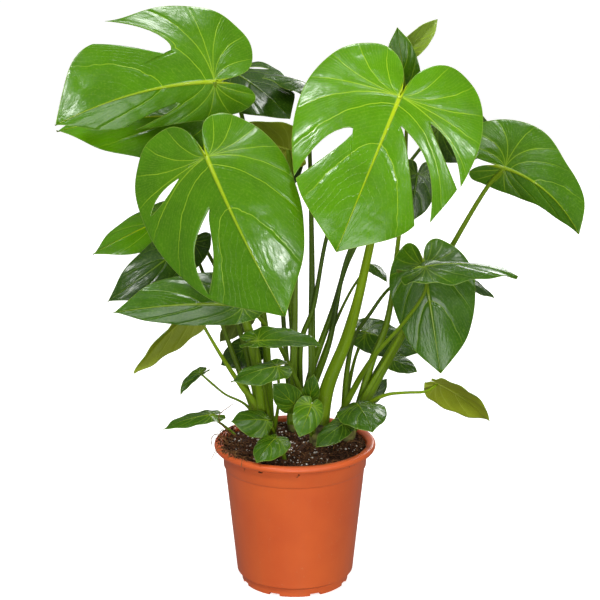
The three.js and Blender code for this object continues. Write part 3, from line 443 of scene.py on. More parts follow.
        "wave": 0.04, "girth": (5, 3), "tone": 0.4, "stalk": ((-24, -6, 186), (-18, -34, 240)),
    },
    "inner_low": {
        "joint": (0, -32, 227), "tip": (-25, -48, 257), "face": (-0.2, -0.8, 0.5), "spread": (0.7, 0.7),
        "wave": 0.02, "girth": (5, 3), "tone": 0.4, "stalk": ((20, -6, 180), (8, -22, 206)),
    },
    "inner_tiny": {
        "joint": (17, -20, 229), "tip": (22, -28, 262), "face": (0, -0.9, 0.4), "droop": 20,
        "spread": (0.55, 0.55), "lobes": (0.5, 0.5), "wave": 0.02, "girth": (5, 3), "tone": 0.4,
        "stalk": ((24, -6, 182), (19, -18, 206)),
    },
    "soil_left": {
        "joint": (-32, -32, 208), "tip": (-73, -50, 213), "face": (0, -0.7, 0.7), "fold": (-20, -20),
        "spread": (0.85, 0.85), "lobes": (0.6, 0.6), "wave": 0.03, "girth": (5, 3), "tone": 0.36,
        "stalk": ((-22, -16, 150), (-24, -24, 190)),
    },
    "front_rim": {
        "joint": (-22, -52, 193), "tip": (-43, -90, 177), "face": (-0.3, -0.8, 0.5), "spread": (0.8, 0.7),
        "girth": (6, 4), "tone": 0.45, "stalk": ((-10, -46, 150), (-14, -48, 176)),
    },
    "front_light": {
        "joint": (19, -40, 229), "tip": (5, -62, 198), "face": (0.2, -0.8, 0.5), "spread": (0.8, 0.8),
        "girth": (5, 3), "tone": 0.6, "stalk": ((22, -8, 184), (21, -28, 214)),
    },
    "front_dark": {
        "joint": (56, -34, 204), "tip": (24, -60, 185), "face": (-0.1, -0.6, 0.8), "spread": (0.6, 0.6),
        "wave": 0.02, "girth": (5, 3), "tone": 0.22, "stalk": ((36, -8, 180), (50, -24, 196)),
    },
}
leaves = {name: {**usualLeaf, **own} for name, own in leaves.items()}

bladeForm = {
    "outlineAngles": [0, 5, 12, 25, 40, 60, 85, 110, 130, 150, 164, 173],
    "outlineShares": [1, 0.945, 0.89, 0.82, 0.725, 0.63, 0.55, 0.48, 0.42, 0.32, 0.2, 0.06],
    "veinReach": 70, "veinCrowding": 3.2, "halfWidth": 0.6,
    "thickness": 0.9, "rimThickness": 0.45, "ribDepth": 1.6, "ribRise": 0.5, "ruffle": 0.006,
    # shares of the way from the midrib to the margin that get a row of points
    "rows": [0, 0.012, 0.03, 0.055, 0.09, 0.14, *[0.2 + 0.07 * i for i in range(10)], 0.89, 0.94, 0.97, 0.99, 1],
    "smallRows": [0, 0.02, 0.06, 0.14, 0.25, 0.38, 0.52, 0.66, 0.8, 0.92, 0.97, 1],
}


def outlineShare(angles):
    xs, ys = np.array(bladeForm["outlineAngles"], float), np.array(bladeForm["outlineShares"], float)
    before = np.maximum(np.arange(len(xs)) - 1, 0)
    after = np.minimum(np.arange(len(xs)) + 1, len(xs) - 1)
    slopes = (ys[after] - ys[before]) / (xs[after] - xs[before])
    i = np.clip(np.searchsorted(xs, angles, side="left") - 1, 0, len(xs) - 2)
    width = xs[i + 1] - xs[i]
    t = (angles - xs[i]) / width
    return (ys[i] * (2 * t**3 - 3 * t**2 + 1) + ys[i + 1] * (3 * t**2 - 2 * t**3)
            + slopes[i] * width * (t**3 - 2 * t**2 + t) + slopes[i + 1] * width * (t**3 - t**2))


def slitOpening(slit, shares):
    start, end, half, mouth, skew = slit[2:]
    q = (shares - start) / (end - start)
    inside = (q > 0) & (q <= 1)
    return np.where(inside, half * np.sin(math.pi * np.clip(q, 0, 1) ** skew) + mouth * q, 0.0)


def flatGrid(leaf, side, angles, lips, shares):
    # the flattened blade of unit length: one column per side vein, one row per share of the way out
    hand = 0 if side == "left" else 1
    turned = np.repeat(angles[:, None], len(shares), 1)
    for number, slit in enumerate(leaf["slits"]):
        if slit[0] != side:
            continue
        away = angles - slit[1]
        lip = np.where(lips[:, 0] == number, lips[:, 1], np.sign(away))
        pull = np.where(np.abs(away) < 3 * slit[4], (1 - np.abs(away) / (3 * slit[4])) ** 2, 0)
        turned = turned + (lip * pull)[:, None] * slitOpening(slit, shares)[None, :]
    lobe = smoothStep(angles, leaf["lobesFrom"], leaf["lobesFrom"] + 60)
    radius = outlineShare(angles) * (1 + (leaf["lobes"][hand] - 1) * lobe)
    endX = radius[:, None] * np.cos(np.radians(turned))
    endY = radius[:, None] * np.sin(np.radians(turned)) * leaf["spread"][hand]
    startX = (np.maximum(0, 1 - angles / bladeForm["veinReach"]) ** bladeForm["veinCrowding"])[:, None]
    t = shares[None, :]
    x = (1 - t) ** 2 * startX + 2 * t * (1 - t) * (startX + 0.12 * (endX - startX)) + t**2 * endX
    y = 2 * t * (1 - t) * 0.6 * endY + t**2 * endY
    return x, y


def bentGrid(leaf, side, angles, shares, x, y):
    hand, other = (0, 1) if side == "left" else (1, -1)
    halfWidth = bladeForm["halfWidth"]
    fold, cup = math.radians(leaf["fold"][hand]), math.radians(leaf["cup"][hand])
    turn = cup * y / halfWidth
    out = halfWidth / cup * (np.sin(fold + turn) - math.sin(fold))
    wave = leaf["wave"] * shares[None, :] ** 2 * np.sin(np.radians(angles * 5)[:, None] + other)
    # a finer ruffle near the margin, stronger on small leaves
    ruffle = bladeForm["ruffle"] * (1.0 if leaf["size"] > 110 else 2.2) * shares[None, :] ** 4
    wave = wave + ruffle * np.sin(np.radians(angles * 11)[:, None] + 3 * other + leaf["joint"][0])
    rise = halfWidth / cup * (math.cos(fold) - np.cos(fold + turn)) + wave
    bend = math.radians(leaf["droop"])
    along = (1 / bend + rise) * np.sin(x * bend)
    height = (1 / bend + rise) * np.cos(x * bend) - 1 / bend
    sway = math.radians(leaf["sway"]) or 1e-6
    return np.stack([(1 / sway - other * out) * np.sin(along * sway),
                     1 / sway - (1 / sway - other * out) * np.cos(along * sway), height], -1)


def axesAlong(direction, upward):
    along = unit(np.asarray(direction, float))
    upward = np.asarray(upward, float)
    up = unit(upward - along * upward.dot(along))
    return np.stack([along, np.cross(up, along), up], 1)


def bladeFrame(leaf):
    one = np.array([1.0])
    leaf["size"] = math.dist(leaf["tip"], leaf["joint"])
    x, y = flatGrid(leaf, "left", np.array([0.0]), np.array([[-1, 0]]), one)
    tip = bentGrid(leaf, "left", np.array([0.0]), one, x, y)[0, 0]
    reach = np.array(leaf["tip"], float) - np.array(leaf["joint"], float)
    size = np.linalg.norm(reach) / np.linalg.norm(tip)
    return axesAlong(reach, leaf["face"]) @ axesAlong(tip, (0, 0, 1)).T * size, size


def bladeParts(leaf):
    turnTo, size = bladeFrame(leaf)
    step = 2.5 if size > 110 else 4.0 if size > 60 else 6.0
    rows = list(bladeForm["rows"] if size >= 110 else bladeForm["smallRows"])
    for slit in leaf["slits"]:
        rows += [slit[2] + d for d in (0, 0.004, 0.012, 0.028, 0.05)]
        rows += [slit[3] - d for d in (0, 0.004, 0.015, 0.035)]
    shares = np.array(sorted({round(r, 4) for r in rows if r <= 1}))
    angleList = set(np.arange(0, 173, step).tolist()) | {173.0, 171.0, 168.0, 1.0}
    for slit in leaf["slits"]:
        near = (0, 1.2, 2.6, 4.4, 6.6, 9.4)
        angleList = {a for a in angleList if abs(a - slit[1]) > 10.5}
        angleList |= {slit[1] + sign * away for away in near for sign in (-1, 1)}
    angleList = sorted(a for a in angleList if 0 <= a <= 173)
    points, tags, quads, cornerTags = [], [], [], []
    for side in ("left", "right"):
        hand = 0 if side == "left" else 1
        columns = [(a, -1, 0) for a in angleList]
        for number, slit in enumerate(leaf["slits"]):
            if slit[0] == side:
                columns = [c for c in columns if c[0] != slit[1]] + [(slit[1], number, -1), (slit[1], number, 1)]
        columns.sort(key=lambda c: (c[0], c[2]))
        angles = np.array([c[0] for c in columns], float)
        lips = np.array([c[1:] for c in columns])
        x, y = flatGrid(leaf, side, angles, lips, shares)
        bent = bentGrid(leaf, side, angles, shares, x, y)
        placed = bent @ turnTo.T + np.array(leaf["joint"], float)
        # how many millimetres a degree between the side veins is, and how far the margin and slits are
        gaps = np.linalg.norm(np.diff(placed, axis=0), axis=2) / np.maximum(np.diff(angles)[:, None], 1e-3)
        gaps = np.where(np.diff(angles)[:, None] < 1e-3, np.nan, gaps)
        perDegree = np.nanmean(np.stack([np.vstack([gaps[:1], gaps]), np.vstack([gaps, gaps[-1:]])]), axis=0)
        lengths = np.linalg.norm(np.diff(placed, axis=1), axis=2)
        margin = np.hstack([np.cumsum(lengths[:, ::-1], axis=1)[:, ::-1], np.zeros((len(columns), 1))])
        for slit in leaf["slits"]:
            if slit[0] == side:
                beside = np.abs(angles - slit[1])[:, None] * perDegree
                isOpen = slitOpening(slit, shares)[None, :] > 0.2
                margin = np.where(isOpen, np.minimum(margin, beside), margin)
        base = sum(len(p) for p in points)
        points.append(placed.reshape(-1, 3))
        midrib = np.abs(y) * size / min(1.0, size / 150)
        tags.append(np.stack([midrib, np.clip(x, 0, 1), perDegree, margin], -1).reshape(-1, 4))
        rowsCount = len(shares)
        uv = np.stack([np.repeat(0.5 + (-1 if side == "left" else 1) * angles[:, None] / 360, rowsCount, 1),
                       np.repeat(shares[None, :], len(columns), 0)], -1).reshape(-1, 2)
        cornerTags.append(uv)
        for i in range(len(columns) - 1):
            if columns[i][1] >= 0 and columns[i][1] == columns[i + 1][1]:
                continue
            for k in range(rowsCount - 1):
                quad = [base + i * rowsCount + k, base + i * rowsCount + k + 1,
                        base + (i + 1) * rowsCount + k + 1, base + (i + 1) * rowsCount + k]
                quads.append(quad if side == "left" else quad[::-1])
    points, tags, uv = np.vstack(points), np.vstack(tags), np.vstack(cornerTags)
    # points that fall together become one
    keys, first, welded = np.unique(np.round(points, 3), axis=0, return_index=True, return_inverse=True)
    welded = welded.ravel()
    points, tags = points[first], tags[first]
    faces, corners = [], []
    for quad in quads:
        face, uvs = [], []
        for v in quad:
            w = int(welded[v])
            if w not in face:
                face.append(w)
                uvs.append(uv[v])
        if len(face) > 2:
            faces.append(face)
            corners.append(uvs)
    normals = np.zeros_like(points)
    edges = {}
    for face in faces:
        a, b, c = points[face[0]], points[face[1]], points[face[2]]
        normal = np.cross(b - a, c - a)
        if len(face) == 4:
            normal = normal + np.cross(c - a, points[face[3]] - a)
        for v in face:
            normals[v] += normal
        for k in range(len(face)):
            edges[(face[k], face[(k + 1) % len(face)])] = True
    normals /= np.maximum(np.linalg.norm(normals, axis=1, keepdims=True), 1e-9)
    rib = np.exp(-(tags[:, 0] / 1.7) ** 2) * (1 - 0.75 * tags[:, 1]) * smoothStep(tags[:, 3], 0, 4)
    thin, thick = bladeForm["rimThickness"] / 2, bladeForm["thickness"] / 2
    half = thin + (thick - thin) * smoothStep(tags[:, 3], 0, 2.5)
    scale = min(1, size / 110)
    upper = points + normals * (half + bladeForm["ribRise"] * scale * rib)[:, None]
    lower = points - normals * (half + bladeForm["ribDepth"] * scale * rib)[:, None]
    count = len(points)
    allFaces, faceMaterials, allUvs = [], [], []
    for face, uvs in zip(faces, corners):
        allFaces.append(face)
        faceMaterials.append(0)
        allUvs += uvs
    for face, uvs in zip(faces, corners):
        allFaces.append([v + count for v in face[::-1]])
        faceMaterials.append(1)
        allUvs += uvs[::-1]
    cornerUv = {}
    for face, uvs in zip(faces, corners):
        for v, u in zip(face, uvs):
            cornerUv[v] = u
    for a, b in edges:
        if (b, a) not in edges:
            allFaces.append([b, a, a + count, b + count])
            faceMaterials.append(0)
            allUvs += [cornerUv[b], cornerUv[a], cornerUv[a], cornerUv[b]]
    keys = ("midribDistance", "along", "perDegree", "marginDistance")
    attributes = {key: np.tile(tags[:, i], 2) for i, key in enumerate(keys)}
    # tone and shade: the leaf's age green together with its painted light and shade, one value for the whole leaf
    attributes["tone"] = np.full(count * 2, leaf["tone"])
    return np.vstack([upper, lower]), allFaces, faceMaterials, allUvs, attributes


def smoothPath(points, spacing):
    # a centripetal spline through the points, stepped evenly along its length
    p = np.array(points, float)
    p = np.vstack([2 * p[0] - p[1], p, 2 * p[-1] - p[-2]])
    fine = []
    for i in range(1, len(p) - 2):
        a, b, c, d = p[i - 1:i + 3]
        ab, bc, cd = (math.sqrt(np.linalg.norm(v)) for v in (b - a, c - b, d - c))
        m1 = ((b - a) / ab - (c - a) / (ab + bc) + (c - b) / bc) * bc
        m2 = ((c - b) / bc - (d - b) / (bc + cd) + (d - c) / cd) * bc
        t = np.linspace(0, 1, 40, endpoint=i == len(p) - 3)[:, None]
        fine.append((2 * t**3 - 3 * t**2 + 1) * b + (t**3 - 2 * t**2 + t) * m1
                    + (3 * t**2 - 2 * t**3) * c + (t**3 - t**2) * m2)
    fine = np.vstack(fine)
    reach = np.concatenate([[0], np.cumsum(np.linalg.norm(np.diff(fine, axis=0), axis=1))])
    steps = max(4, int(round(reach[-1] / spacing)))
    at = np.linspace(0, reach[-1], steps + 1)
    return np.stack([np.interp(at, reach, fine[:, k]) for k in range(3)], 1), at


def tubeParts(path, at, radiusAt, sides, inward):
    # a closed tube whose section keeps its first side turned towards inward
    tangents = np.gradient(path, axis=0)
    tangents /= np.linalg.norm(tangents, axis=1, keepdims=True)
    points, uvs = [], []
    turns = 2 * math.pi * np.arange(sides) / sides
    for i, (centre, tangent) in enumerate(zip(path, tangents)):
        first = inward - tangent * inward.dot(tangent)
        first = unit(first)
        second = np.cross(tangent, first)
        radii = radiusAt(at[i] / at[-1], turns)
        ring = centre + (radii * np.cos(turns))[:, None] * first + (radii * np.sin(turns))[:, None] * second
        points.append(ring)
        uvs.append([(turn * 0.004, at[i] * mm) for turn in np.append(turns, 2 * math.pi)])
    faces, corners = [], []
    for i in range(len(path) - 1):
        for k in range(sides):
            n = (k + 1) % sides
            faces.append([i * sides + k, i * sides + n, (i + 1) * sides + n, (i + 1) * sides + k])
            corners += [uvs[i][k], uvs[i][k + 1], uvs[i + 1][k + 1], uvs[i + 1][k]]
    points = np.vstack(points)
    last = (len(path) - 1) * sides
    foot, top = len(points), len(points) + 1
    points = np.vstack([points, path[:1], path[-1:]])
    for k in range(sides):
        n = (k + 1) % sides
        faces.append([n, k, foot])
        corners += [uvs[0][k + 1], uvs[0][k], uvs[0][k]]
        faces.append([last + k, last + n, top])
        corners += [uvs[-1][k], uvs[-1][k + 1], uvs[-1][k]]
    return points, faces, corners


def stalkParts(leaf):
    foot, top = (girth / 2 for girth in leaf["girth"])
    path, at = smoothPath(list(leaf["stalk"]) + [leaf["joint"]], 5.0)
    length = at[-1]
    sheathEnd = leaf["sheath"]
    outward = np.array([leaf["joint"][0], leaf["joint"][1], 0]) / max(60.0, np.hypot(*leaf["joint"][:2]))
    inward = np.array([0.0, 0.0, 1.0]) - 0.9 * outward

    def radiusAt(share, turns):
        radius = top + (foot - top) * (1 - share) ** 1.8
        knee = 0.16 * math.exp(-(((1 - share) * length - 16) / 9) ** 2)  # the swelling that turns the blade
        sheath = float(smoothStep(sheathEnd - share, 0, 0.12))
        away = np.minimum(np.abs(turns), 2 * math.pi - np.abs(turns))
        flange = 0.24 * sheath * np.exp(-((away - 0.62) / 0.26) ** 2)  # the sheath's two thin edges
        groove = (0.12 + 0.14 * sheath) * np.exp(-(away / 0.4) ** 2)
        return radius * (1 + knee + flange - groove)

    sides = 20 if foot > 4 else 12
    points, faces, corners = tubeParts(path, at, radiusAt, sides, inward)
    share = np.append(np.repeat(at / length, sides), [0, 1])
    sheath = smoothStep(sheathEnd - share, 0, 0.2)
    # the stalk tone and shade value: the stalk's own green and painted light and shade together, set stalk by stalk
    # and darker towards the foot
    attributes = {"stalkTone": np.clip(leaf["stalkTone"] * (0.75 + 0.45 * share), 0, 1), "sheath": sheath}
    return points, faces, corners, attributes


def buildLeaf(name, leaf):
    piece = "".join(word.capitalize() for word in name.split("_"))
    blade = bladeParts(leaf)
    stalk = stalkParts(leaf)
    if leaf["whole"]:
        count, extra = len(blade[0]), len(stalk[0])
        attributes = {key: np.append(values, np.zeros(extra)) for key, values in blade[4].items()}
        attributes["stalkTone"] = np.append(np.zeros(count), stalk[3]["stalkTone"])
        attributes["sheath"] = np.append(np.zeros(count), stalk[3]["sheath"])
        made = meshPiece(
            "leaf" + piece, np.vstack([blade[0], stalk[0]]),
            blade[1] + [[v + count for v in face] for face in stalk[1]],
            [waxyLeafUpper, mattLeafUnder, satinStalk], blade[2] + [2] * len(stalk[1]), attributes,
            list(blade[3]) + list(stalk[2]))
        finishPiece(made, "leaf", "leaf_" + name)
        return
    made = meshPiece("blade" + piece, *blade[:2], [waxyLeafUpper, mattLeafUnder], blade[2], blade[4], blade[3])
    finishPiece(made, "leaf", "blade_" + name)
    made = meshPiece("stalk" + piece, *stalk[:2], [satinStalk], None, stalk[3], stalk[2])
    finishPiece(made, "stalk", "stalk_" + name)


for name, leaf in leaves.items():
    buildLeaf(name, leaf)
print("leaves made:", len(leaves))


# ---- stems ----
# Young monstera trunk: green-brown bark with rings where old sheaths tore off. It is matt, with
# darker seams at the rings and paler corky patches.
stemForm = {
    "left": ((-28, 2, 128), (-34, 6, 192), 22), "back": ((2, 38, 128), (0, 44, 190), 20),
    "middle": ((26, 0, 128), (30, 0, 194), 24), "right": ((54, 18, 128), (64, 22, 192), 22),
    "ringSpacing": 9.0, "ringDepth": 0.07,
}


def barkMaterial():
    material, tree = newMaterial("youngBark")
    place = addNode(tree, "ShaderNodeTexCoord", out="Object")
    patches = addNode(tree, "ShaderNodeTexNoise", {"Vector": place, "Scale": 90.0, "Detail": 4.0}, "Fac")
    colour = addNode(tree, "ShaderNodeValToRGB", {"Fac": patches})
    stops = colour.color_ramp.elements
    stops[0].position, stops[0].color = 0.35, linearColour("#3d3a1a")
    stops[1].position, stops[1].color = 0.7, linearColour("#8c8f45")
    relief = addNode(tree, "ShaderNodeMath", {0: patches, 1: 0.0012}, 0, operation="MULTIPLY")
    bump = addNode(tree, "ShaderNodeBump", {"Strength": 1.0, "Distance": 1.0, "Height": relief})
    shader = addNode(tree, "ShaderNodeBsdfPrincipled", {
        "Base Color": colour.outputs[0], "Roughness": 0.75, "IOR": 1.45, "Normal": bump.outputs[0]})
    addNode(tree, "ShaderNodeOutputMaterial", {"Surface": shader.outputs[0]})
    return material


youngBark = barkMaterial()


def buildStem(name):
    foot, top, girth = stemForm[name]
    path, at = smoothPath([foot, tuple((np.array(foot) + np.array(top)) / 2), top], 1.5)

    def radiusAt(share, turns):
        ring = math.cos(2 * math.pi * share * at[-1] / stemForm["ringSpacing"])
        shape = 1 - stemForm["ringDepth"] * max(0, ring) ** 6 + 0.03 * np.sin(3 * turns + 5 * share)
        return girth / 2 * shape * (1 - 0.25 * float(smoothStep(share, 0.88, 1)))

    points, faces, corners = tubeParts(path, at, radiusAt, 32, np.array([0.0, -1.0, 0.0]))
    piece = meshPiece("stem" + name.capitalize(), points, faces, [youngBark], None, None, corners)
    finishPiece(piece, "stem", "stem_" + name)


for name in ("left", "back", "middle", "right"):
    buildStem(name)
print("stems made")


# ---- pot ----
# Injection-moulded polypropylene, terracotta coloured, slightly lighter and scuffed on the rim and the collar's edge
# with a dusty lower wall. The material gives an even satin skin with a faint moulding grain, lighter cloudy
# patches, faint upright streaks and dusty spots all over.
potForm = {
    "height": 172, "lipRadius": 95, "lipRound": 4, "collarRadius": 84, "stepRadius": 82.5, "stepHeight": 143,
    "shoulderRadius": 69, "shoulderHeight": 14, "footRadius": 63, "floorRise": 4, "padRadius": 20, "wall": 2,
    "drains": 8, "drainRadius": 5, "drainCircle": 48, "cutDepth": 12, "notch": (12, 13, 6), "segments": 192,
    "colour": "#d65a26", "cloud": "#e2662a", "streak": "#cf6636", "dust": "#d98558",
}


def potMaterial():
    material, tree = newMaterial("satinPolypropylene")
    place = addNode(tree, "ShaderNodeTexCoord", out="Object")
    drawn = addNode(tree, "ShaderNodeMapping", {"Vector": place, "Scale": (60, 60, 4)}, 0)
    cloud, grain, dust, streaks = [
        addNode(tree, "ShaderNodeTexNoise", {"Vector": where, "Scale": scale, "Detail": detail}, "Fac")
        for where, scale, detail in (
            (place, 14.0, 3.0), (place, 1400.0, 2.0), (place, 260.0, 4.0), (drawn, 1.0, 3.0))]
    colour = linearColour(potForm["colour"])
    for value, low, high, most, hexCode in (
            (cloud, 0.3, 0.7, 1.0, potForm["cloud"]), (streaks, 0.5, 0.75, 0.25, potForm["streak"]),
            (dust, 0.66, 0.74, 0.35, potForm["dust"])):
        share = addNode(tree, "ShaderNodeMapRange", {
            "Value": value, "From Min": low, "From Max": high, "To Max": most}, 0)
        colour = addNode(tree, "ShaderNodeMix", {0: share, 6: colour, 7: linearColour(hexCode)}, 2, data_type="RGBA")
    rough = addNode(tree, "ShaderNodeMapRange", {
        "Value": streaks, "From Min": 0.3, "From Max": 0.7, "To Min": 0.36, "To Max": 0.48}, 0)
    relief = addNode(tree, "ShaderNodeMath", {0: grain, 1: 0.00004}, 0, operation="MULTIPLY")
    bump = addNode(tree, "ShaderNodeBump", {"Strength": 1.0, "Distance": 1.0, "Height": relief}, 0)
    shader = addNode(tree, "ShaderNodeBsdfPrincipled", {
        "Base Color": colour, "Roughness": rough, "IOR": 1.49, "Specular IOR Level": 0.5, "Normal": bump}, 0)
    addNode(tree, "ShaderNodeOutputMaterial", {"Surface": shader})
    return material


satinPolypropylene = potMaterial()


def arcPoints(centreR, centreZ, radius, fromTurn, toTurn, count):
    turns = np.radians(np.linspace(fromTurn, toTurn, count))
    return [(centreR + radius * math.cos(t), centreZ + radius * math.sin(t)) for t in turns]


def buildPot():
    p = potForm
    floor = p["floorRise"] + p["wall"]
    foot, collar, lip, top = p["footRadius"], p["collarRadius"], p["lipRadius"], p["height"]
    outline = [(0, 0), (p["padRadius"] - 2, 0), (p["padRadius"], p["floorRise"]), (foot - 7, p["floorRise"]),
               (foot - 5, 0.3), (foot - 4.6, 0), (foot - 0.4, 0), (foot, 0.4), (foot + 0.8, 10),
               (p["shoulderRadius"] - 2.2, 12.2), (p["shoulderRadius"] - 0.8, 12.8)]
    outline += arcPoints(p["shoulderRadius"] - 1.0, p["shoulderHeight"] - 0.2, 1.0, -60, 0, 4)
    outline += [(p["stepRadius"] - 0.15, p["stepHeight"] - 1.2), (p["stepRadius"] + 0.1, p["stepHeight"] - 0.3)]
    outline += [(collar - 0.5, p["stepHeight"] + 0.6), (collar, p["stepHeight"] + 1.4),
                (collar + 1.1, top - 10.5), (collar + 1.6, top - 8.8), (lip - 6.5, top - 7.8)]
    outline += arcPoints(lip - p["lipRound"], top - p["lipRound"], p["lipRound"], -78, 90, 12)
    outline += [(lip - 6.5, top - 0.1), (lip - 9, top - 0.7), (collar + 0.6, top - 1.8), (collar - 0.2, top - 4),
                (collar - p["wall"], p["stepHeight"] + 2), (p["stepRadius"] - p["wall"], p["stepHeight"]),
                (p["shoulderRadius"] - p["wall"], p["shoulderHeight"] + 2),
                (foot - 1.2, floor + 1), (foot - 3, floor), (0, floor)]
    shell = bmesh.new()
    rings = []
    for r, z in outline:
        if r == 0:
            rings.append([shell.verts.new((0, 0, z * mm))])
        else:
            turns = [2 * math.pi * k / p["segments"] for k in range(p["segments"])]
            rings.append([shell.verts.new((r * mm * math.cos(t), r * mm * math.sin(t), z * mm)) for t in turns])
    for low, high in zip(rings, rings[1:]):
        for k in range(p["segments"]):
            n = (k + 1) % p["segments"]
            if len(low) == 1:
                shell.faces.new((low[0], high[n], high[k]))
            elif len(high) == 1:
                shell.faces.new((low[k], low[n], high[0]))
            else:
                shell.faces.new((low[k], low[n], high[n], high[k]))
    bmesh.ops.recalc_face_normals(shell, faces=shell.faces)
    mesh = bpy.data.meshes.new("potShell")
    shell.to_mesh(mesh)
    shell.free()
    pot = bpy.data.objects.new("potShell", mesh)
    bpy.context.scene.collection.objects.link(pot)
    cutters = bmesh.new()
    for i in range(p["drains"]):
        turn = Matrix.Rotation(2 * math.pi * (i + 0.5) / p["drains"], 4, "Z")
        notchSize = Matrix.Diagonal((*[size * mm for size in p["notch"]], 1))
        place = turn @ Matrix.Translation(Vector((foot, 0, 0)) * mm) @ notchSize
        bmesh.ops.create_cube(cutters, size=1, matrix=place)
        place = turn @ Matrix.Translation(Vector((p["drainCircle"], 0, p["floorRise"])) * mm)
        bmesh.ops.create_cone(cutters, cap_ends=True, segments=32, radius1=p["drainRadius"] * mm,
                              radius2=p["drainRadius"] * mm, depth=p["cutDepth"] * mm, matrix=place)
    cutMesh = bpy.data.meshes.new("potCuts")
    cutters.to_mesh(cutMesh)
    cutters.free()
    cuts = bpy.data.objects.new("potCuts", cutMesh)
    bpy.context.scene.collection.objects.link(cuts)
    modifier = pot.modifiers.new("cuts", "BOOLEAN")
    modifier.object, modifier.operation, modifier.solver = cuts, "DIFFERENCE", "EXACT"
    bpy.context.view_layer.update()
    cut = bpy.data.meshes.new_from_object(pot.evaluated_get(bpy.context.evaluated_depsgraph_get()))
    pot.modifiers.clear()
    pot.data = cut
    bpy.data.objects.remove(cuts)
    cut.materials.clear()
    cut.materials.append(satinPolypropylene)
    cut.polygons.foreach_set("use_smooth", [True] * len(cut.polygons))
    cut.set_sharp_from_angle(angle=math.radians(38))
    return pot


finishPiece(buildPot(), "pot", "pot")
print("pot made")


# ---- soil ----
# Damp coir and bark potting mix: dark brown crumbs with paler fibres and white perlite. It gives a
# rough matt surface that swallows light between the crumbs.
soilForm = {"top": 161, "mound": 4, "lumps": 1.6, "bank": 5.5}


def grainMaterial(name, hexCodes, roughness, scale, depth):
    material, tree = newMaterial(name)
    place = addNode(tree, "ShaderNodeTexCoord", out="Object")
    patches = addNode(tree, "ShaderNodeTexNoise", {"Vector": place, "Scale": scale, "Detail": 4.0}, "Fac")
    colour = addNode(tree, "ShaderNodeValToRGB", {"Fac": patches})
    ramp = colour.color_ramp
    ramp.elements[0].position, ramp.elements[0].color = 0.32, linearColour(hexCodes[0])
    ramp.elements[1].position, ramp.elements[1].color = 0.68, linearColour(hexCodes[-1])
    for i, code in enumerate(hexCodes[1:-1]):
        ramp.elements.new(0.32 + 0.36 * (i + 1) / (len(hexCodes) - 1)).color = linearColour(code)
    relief = addNode(tree, "ShaderNodeMath", {0: patches, 1: depth}, 0, operation="MULTIPLY")
    bump = addNode(tree, "ShaderNodeBump", {"Strength": 1.0, "Distance": 1.0, "Height": relief})
    shader = addNode(tree, "ShaderNodeBsdfPrincipled", {
        "Base Color": colour.outputs[0], "Roughness": roughness, "IOR": 1.45, "Specular IOR Level": 0.3,
        "Normal": bump.outputs[0]})
    addNode(tree, "ShaderNodeOutputMaterial", {"Surface": shader.outputs[0]})
    return material


pottingMix = grainMaterial("pottingMix", ["#1a100b", "#3a2417", "#5a3a24"], 0.95, 330.0, 0.002)
barkCrumb = grainMaterial("barkCrumb", ["#1f130c", "#4a2e1c", "#6e4728"], 0.9, 420.0, 0.0006)
coirFibre = grainMaterial("coirFibre", ["#5b3b1f", "#9a7142"], 0.85, 300.0, 0.0002)
perliteGrain = grainMaterial("perliteGrain", ["#b9b2a6", "#efebe2"], 0.9, 600.0, 0.0005)
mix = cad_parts["soil"].data
mix.materials.clear()
mix.materials.append(pottingMix)


def soilHeight(x, y):
    out = math.hypot(x, y) / 82
    lumps = math.sin(x / 6.1 + 1) * math.sin(y / 7.3) + 0.6 * math.sin(x / 3.4 - y / 4.1)
    bank = soilForm["bank"] * float(smoothStep(y, -50, 30))
    lumps *= soilForm["lumps"] * min(1, 4 * (1 - out))
    return soilForm["top"] + bank + soilForm["mound"] * (1 - out**2) + lumps


def scatterSurface(name, rings, segments, rLow, rHigh, turnLow, turnHigh, heightAt):
    points, faces = [], []
    for i in range(rings + 1):
        r = rLow + (rHigh - rLow) * i / rings
        for k in range(segments + 1):
            turn = math.radians(turnLow + (turnHigh - turnLow) * k / segments)
            x, y = r * math.cos(turn), r * math.sin(turn)
            points.append((x, y, heightAt(x, y)))
    for i in range(rings):
        for k in range(segments):
            a = i * (segments + 1) + k
            faces.append([a, a + segments + 1, a + segments + 2, a + 1])
    return meshPiece(name, points, faces, [])


